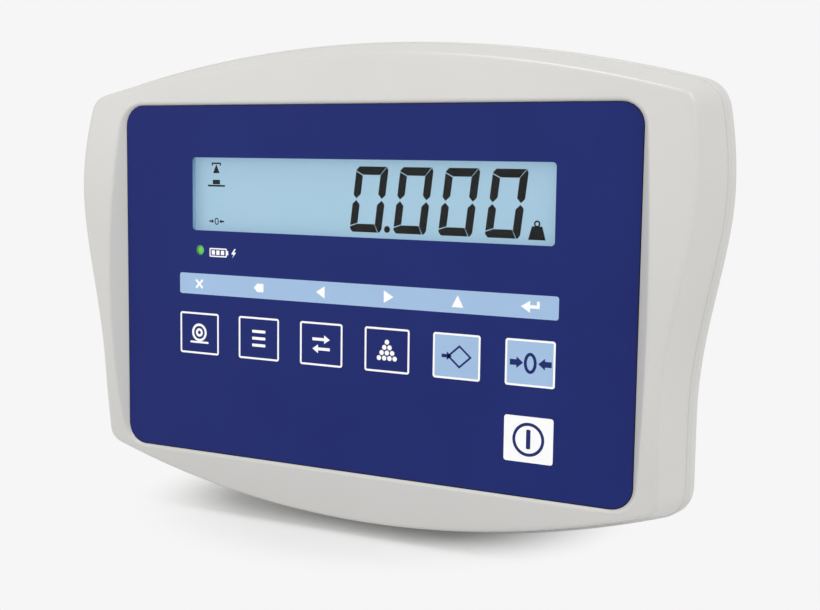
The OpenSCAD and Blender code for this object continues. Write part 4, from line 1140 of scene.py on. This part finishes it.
def drawPile(bm, at):
    for row in range(pile["rows"]):
        z = at.z + pile["top"] - row * pile["rowPitch"]
        for place in range(row + 1):
            discFace(bm, at.x + (place - row / 2) * pile["pitch"], z, pile["across"], pile["across"],
                     inkY, pile["segments"])


# A diamond with an arrow at its left
tareSign = {"x": 1.2, "halfWide": 5.1, "halfHigh": 4.4, "line": 0.72,
            "arrowTip": -1.9, "length": 4.2, "shaft": 1.3, "head": 3.2, "tip": 2.1}


def drawTareSign(bm, at):
    corners = [(at.x + tareSign["x"] + tareSign["halfWide"] * c, at.z + tareSign["halfHigh"] * s)
               for c, s in ((-1, 0), (0, -1), (1, 0), (0, 1))]
    hollow(bm, shapeFace(bm, corners, markY), tareSign["line"])
    arrow(bm, at.x + tareSign["arrowTip"], at.z, 1, tareSign, markY)


# A nought between two arrows
zeroSign = {"x": 0.1, "wide": 5.0, "high": 7.7, "line": 1.15, "leftTip": -2.7, "rightTip": 3.2,
            "length": 5.2, "shaft": 2.1, "head": 4.2, "tip": 2.6}


def drawZeroSign(bm, at):
    ringFace(bm, at.x + zeroSign["x"], at.z, zeroSign["wide"], zeroSign["high"], zeroSign["line"], markY)
    arrow(bm, at.x + zeroSign["leftTip"], at.z, 1, zeroSign, markY)
    arrow(bm, at.x + zeroSign["rightTip"], at.z, -1, zeroSign, markY)


powerSign = {"across": 12.5, "line": 1.15, "barUp": 0.1, "barWide": 1.7, "barHigh": 7.2, "corner": 0.5}


def drawPowerSign(bm, at):
    ringFace(bm, at.x, at.z, powerSign["across"], powerSign["across"], powerSign["line"], markY)
    roundedFace(bm, at.x, at.z + powerSign["barUp"], powerSign["barWide"], powerSign["barHigh"],
                powerSign["corner"], markY)


keySigns = {
    "print": (drawRoll, printWhite, "key_white"),
    "function": (drawMenuBars, printWhite, "key_white"),
    "units": (drawSwapArrows, printWhite, "key_white"),
    "count": (drawPile, printWhite, "key_white"),
    "tare": (drawTareSign, printNavy, "film_blue"),
    "zero": (drawZeroSign, printNavy, "film_blue"),
    "power": (drawPowerSign, printNavy, "film_blue"),
}


def keyPrints():
    for key in ("print", "function", "units", "count", "tare", "zero"):
        keyFramePrint(key)
    keyFieldPrint("tare", stripBlue)
    keyFieldPrint("zero", stripBlue)
    keyFieldPrint("power", printWhite)
    for key, (drawSign, material, slot) in keySigns.items():
        bm = bmesh.new()
        drawSign(bm, nodeMiddle("key_" + key))
        finishPrint(bm, key + "Icon", material, "key_" + key)


# A battery being charged, beside the light
chargeSign = {
    "x": -65.4, "z": 11.8, "wide": 8.6, "high": 3.6, "corner": 0.5, "line": 0.5,
    "knobX": -60.75, "knobWide": 0.7, "knobHigh": 1.7, "knobCorner": 0.2,
    "bars": 3, "barX": -67.8, "barPitch": 2.3, "barWide": 1.6, "barHigh": 1.8, "barCorner": 0.15,
    "bolt": [(-57.4, 13.6), (-58.9, 11.4), (-57.7, 11.4), (-58.4, 9.9), (-56.5, 12.2), (-57.6, 12.2),
             (-56.7, 13.6)],
}


def chargePrint():
    c = chargeSign
    bm = bmesh.new()
    frameFace(bm, c["x"], c["z"], c["wide"], c["high"], c["corner"], c["line"], inkY)
    roundedFace(bm, c["knobX"], c["z"], c["knobWide"], c["knobHigh"], c["knobCorner"], inkY)
    for i in range(c["bars"]):
        roundedFace(bm, c["barX"] + i * c["barPitch"], c["z"], c["barWide"], c["barHigh"],
                    c["barCorner"], inkY)
    shapeFace(bm, c["bolt"], inkY)
    finishPrint(bm, "chargeIcon", printWhite)


# Display marks
digits = {
    "count": 4, "first": -5.7, "pitch": 19.14, "low": 22.5, "wide": 14.0, "high": 25.1, "lean": 3.1,
    "line": 3.15, "gap": 0.32, "corner": 1.3, "blunt": 0.5, "bluntIn": 0.52,
    "topEndIn": 0.9, "footEndIn": 1.3, "slack": 0.3,
    "lapShare": 0.2, "tipShare": 0.45, "nibShare": 0.55, "shoulderShare": 0.52, "heelShare": 0.72,
    "toeShare": 0.9,
    "point": (10.9, 23.9), "pointAcross": 2.57, "pointSegments": 32,
}


# The six lit bars of a nought
def digitFaces(bm, left, y):
    d = digits
    wide, high, line, gap, corner = d["wide"], d["high"], d["line"], d["gap"], d["corner"]
    right, upper, half = wide - line, high - line, high / 2
    lap, tip, nib = gap * d["lapShare"], line * d["tipShare"], line * d["nibShare"]
    shoulder, heel, toe = line * d["shoulderShare"], line * d["heelShare"], line * d["toeShare"]
    topEnd, footEnd, edge = wide - d["topEndIn"], wide - d["footEndIn"], wide - d["bluntIn"]
    blunt, slack = d["blunt"], d["slack"]
    top = [(corner, high), (topEnd, high), (right - 2 * lap, upper), (line + lap, upper),
           (lap, high - shoulder), (lap, high - corner)]
    upperRight = [(topEnd + gap, high), (edge, high - blunt), (wide, high - corner), (wide, half + nib),
                  (wide - tip, half + gap), (right, half + nib + slack), (right, upper - 2 * lap)]
    lowerRight = [(wide - tip, half - gap), (wide, half - nib), (wide, corner), (edge, blunt),
                  (topEnd, 0), (footEnd, 0), (right, toe), (right, half - nib - slack)]
    bottom = [(corner, 0), (footEnd - gap, 0), (right - gap, line), (line, line),
              (lap, heel - 3 * lap), (lap, corner)]
    lowerLeft = [(0, heel + 3 * lap), (line, line + gap), (line, half - nib - slack), (tip, half - gap),
                 (0, half - nib)]
    upperLeft = [(0, half + nib), (tip, half + gap), (line, half + nib + slack), (line, upper - gap),
                 (0, high - shoulder - gap)]
    for shape in (top, upperRight, lowerRight, bottom, lowerLeft, upperLeft):
        shapeFace(bm, [(left + x + d["lean"] * z / high, d["low"] + z) for x, z in shape], y)


# Small signs: a tare bar and triangle, a load on its pan, a nought between arrows and, for the
# unit, a small weight. Pan, load and nought give x, z, width, height and corner, and the eye its
# line instead of a corner.
displaySigns = {
    "tareBar": [(-71.2, 46.9), (-70.65, 46.9), (-70.65, 47.6), (-67.15, 47.6), (-67.15, 46.9),
                (-66.6, 46.9), (-66.6, 48.2), (-71.2, 48.2)],
    "triangle": [(-70.5, 43.9), (-67.3, 43.9), (-68.9, 47.5)],
    "pan": (-68.9, 38.8, 8.6, 0.7, 0.2),
    "load": (-68.9, 40.3, 3.6, 1.8, 0.3),
    "nought": (-68.8, 24.3, 1.9, 2.8, 0.931), "noughtLine": 0.42, "noughtSegments": 10,
    "arrows": {"leftTip": -70.1, "rightTip": -67.5, "z": 24.3,
               "length": 2.4, "shaft": 0.6, "head": 1.6, "tip": 1.1},
    "weight": [(69.0, 22.3), (75.8, 22.3), (74.4, 27.2), (70.4, 27.2)],
    "eye": (72.4, 28.1, 2.5, 2.5, 0.6),
}


def displayMarks():
    d = displaySigns
    y = nodeBox("lcd_glass")[0].y - printThick
    bm = bmesh.new()
    for i in range(digits["count"]):
        digitFaces(bm, digits["first"] + i * digits["pitch"], y)
    discFace(bm, *digits["point"], digits["pointAcross"], digits["pointAcross"], y, digits["pointSegments"])
    shapeFace(bm, d["tareBar"], y)
    shapeFace(bm, d["triangle"], y)
    roundedFace(bm, *d["pan"], y)
    roundedFace(bm, *d["load"], y)
    hollow(bm, roundedFace(bm, *d["nought"], y, d["noughtSegments"]), d["noughtLine"])
    arrow(bm, d["arrows"]["leftTip"], d["arrows"]["z"], 1, d["arrows"], y)
    arrow(bm, d["arrows"]["rightTip"], d["arrows"]["z"], -1, d["arrows"], y)
    shapeFace(bm, d["weight"], y)
    ringFace(bm, *d["eye"], y)
    finishPrint(bm, "displayMarks", displayBlack)


# A thin strip inside the display's opening, in the blue of the shaded band there: painted shade
shadeStrip = {"wide": 161.9, "high": 32.3, "corner": 1.0, "line": 0.35, "behind": 0.03, "deep": 2.2}


def windowShadeStrip():
    _, high, at = nodeBox("window_lens")
    bm = bmesh.new()
    frameFace(bm, at.x, at.z, shadeStrip["wide"], shadeStrip["high"], shadeStrip["corner"], shadeStrip["line"],
              high.y + shadeStrip["behind"])
    thicken(bm, shadeStrip["deep"])
    finishPiece(bm, "windowShadeStrip", displayShadeBlue)


# A dark ring in the gap round the film, set a little to the lower right: painted shadow of the gap
gapShadow = {"x": 0.09, "z": -0.09, "out": 0.31, "line": 0.5, "behind": 0.03, "deep": 0.35}


def filmGapShadow():
    g = gapShadow
    bm = bmesh.new()
    frameFace(bm, g["x"], g["z"], filmWide + 2 * g["out"], filmTall + 2 * g["out"],
              h["filmCorner"] + g["out"], g["line"], g["behind"])
    thicken(bm, g["deep"])
    finishPiece(bm, "filmGapShadow", displayBlack)


# The film bends round each key, so no open slit shows there
keyEdge = {"out": 0.11, "corner": 1.3, "line": 0.09, "behind": 0.005, "deep": 0.3}


def keyEdges():
    bm = bmesh.new()
    for name in keyNodes:
        low, high, at = nodeBox(name)
        frameFace(bm, at.x, at.z, high.x - low.x + 2 * keyEdge["out"], high.z - low.z + 2 * keyEdge["out"],
                  keyEdge["corner"], keyEdge["line"], keyEdge["behind"])
    thicken(bm, keyEdge["deep"])
    finishPiece(bm, "keyEdges", filmBlue)


windowShadeStrip()
filmGapShadow()
keyEdges()
stripPrint()
keyPrints()
chargePrint()
displayMarks()
print("prints are on the film, the keys and the display")
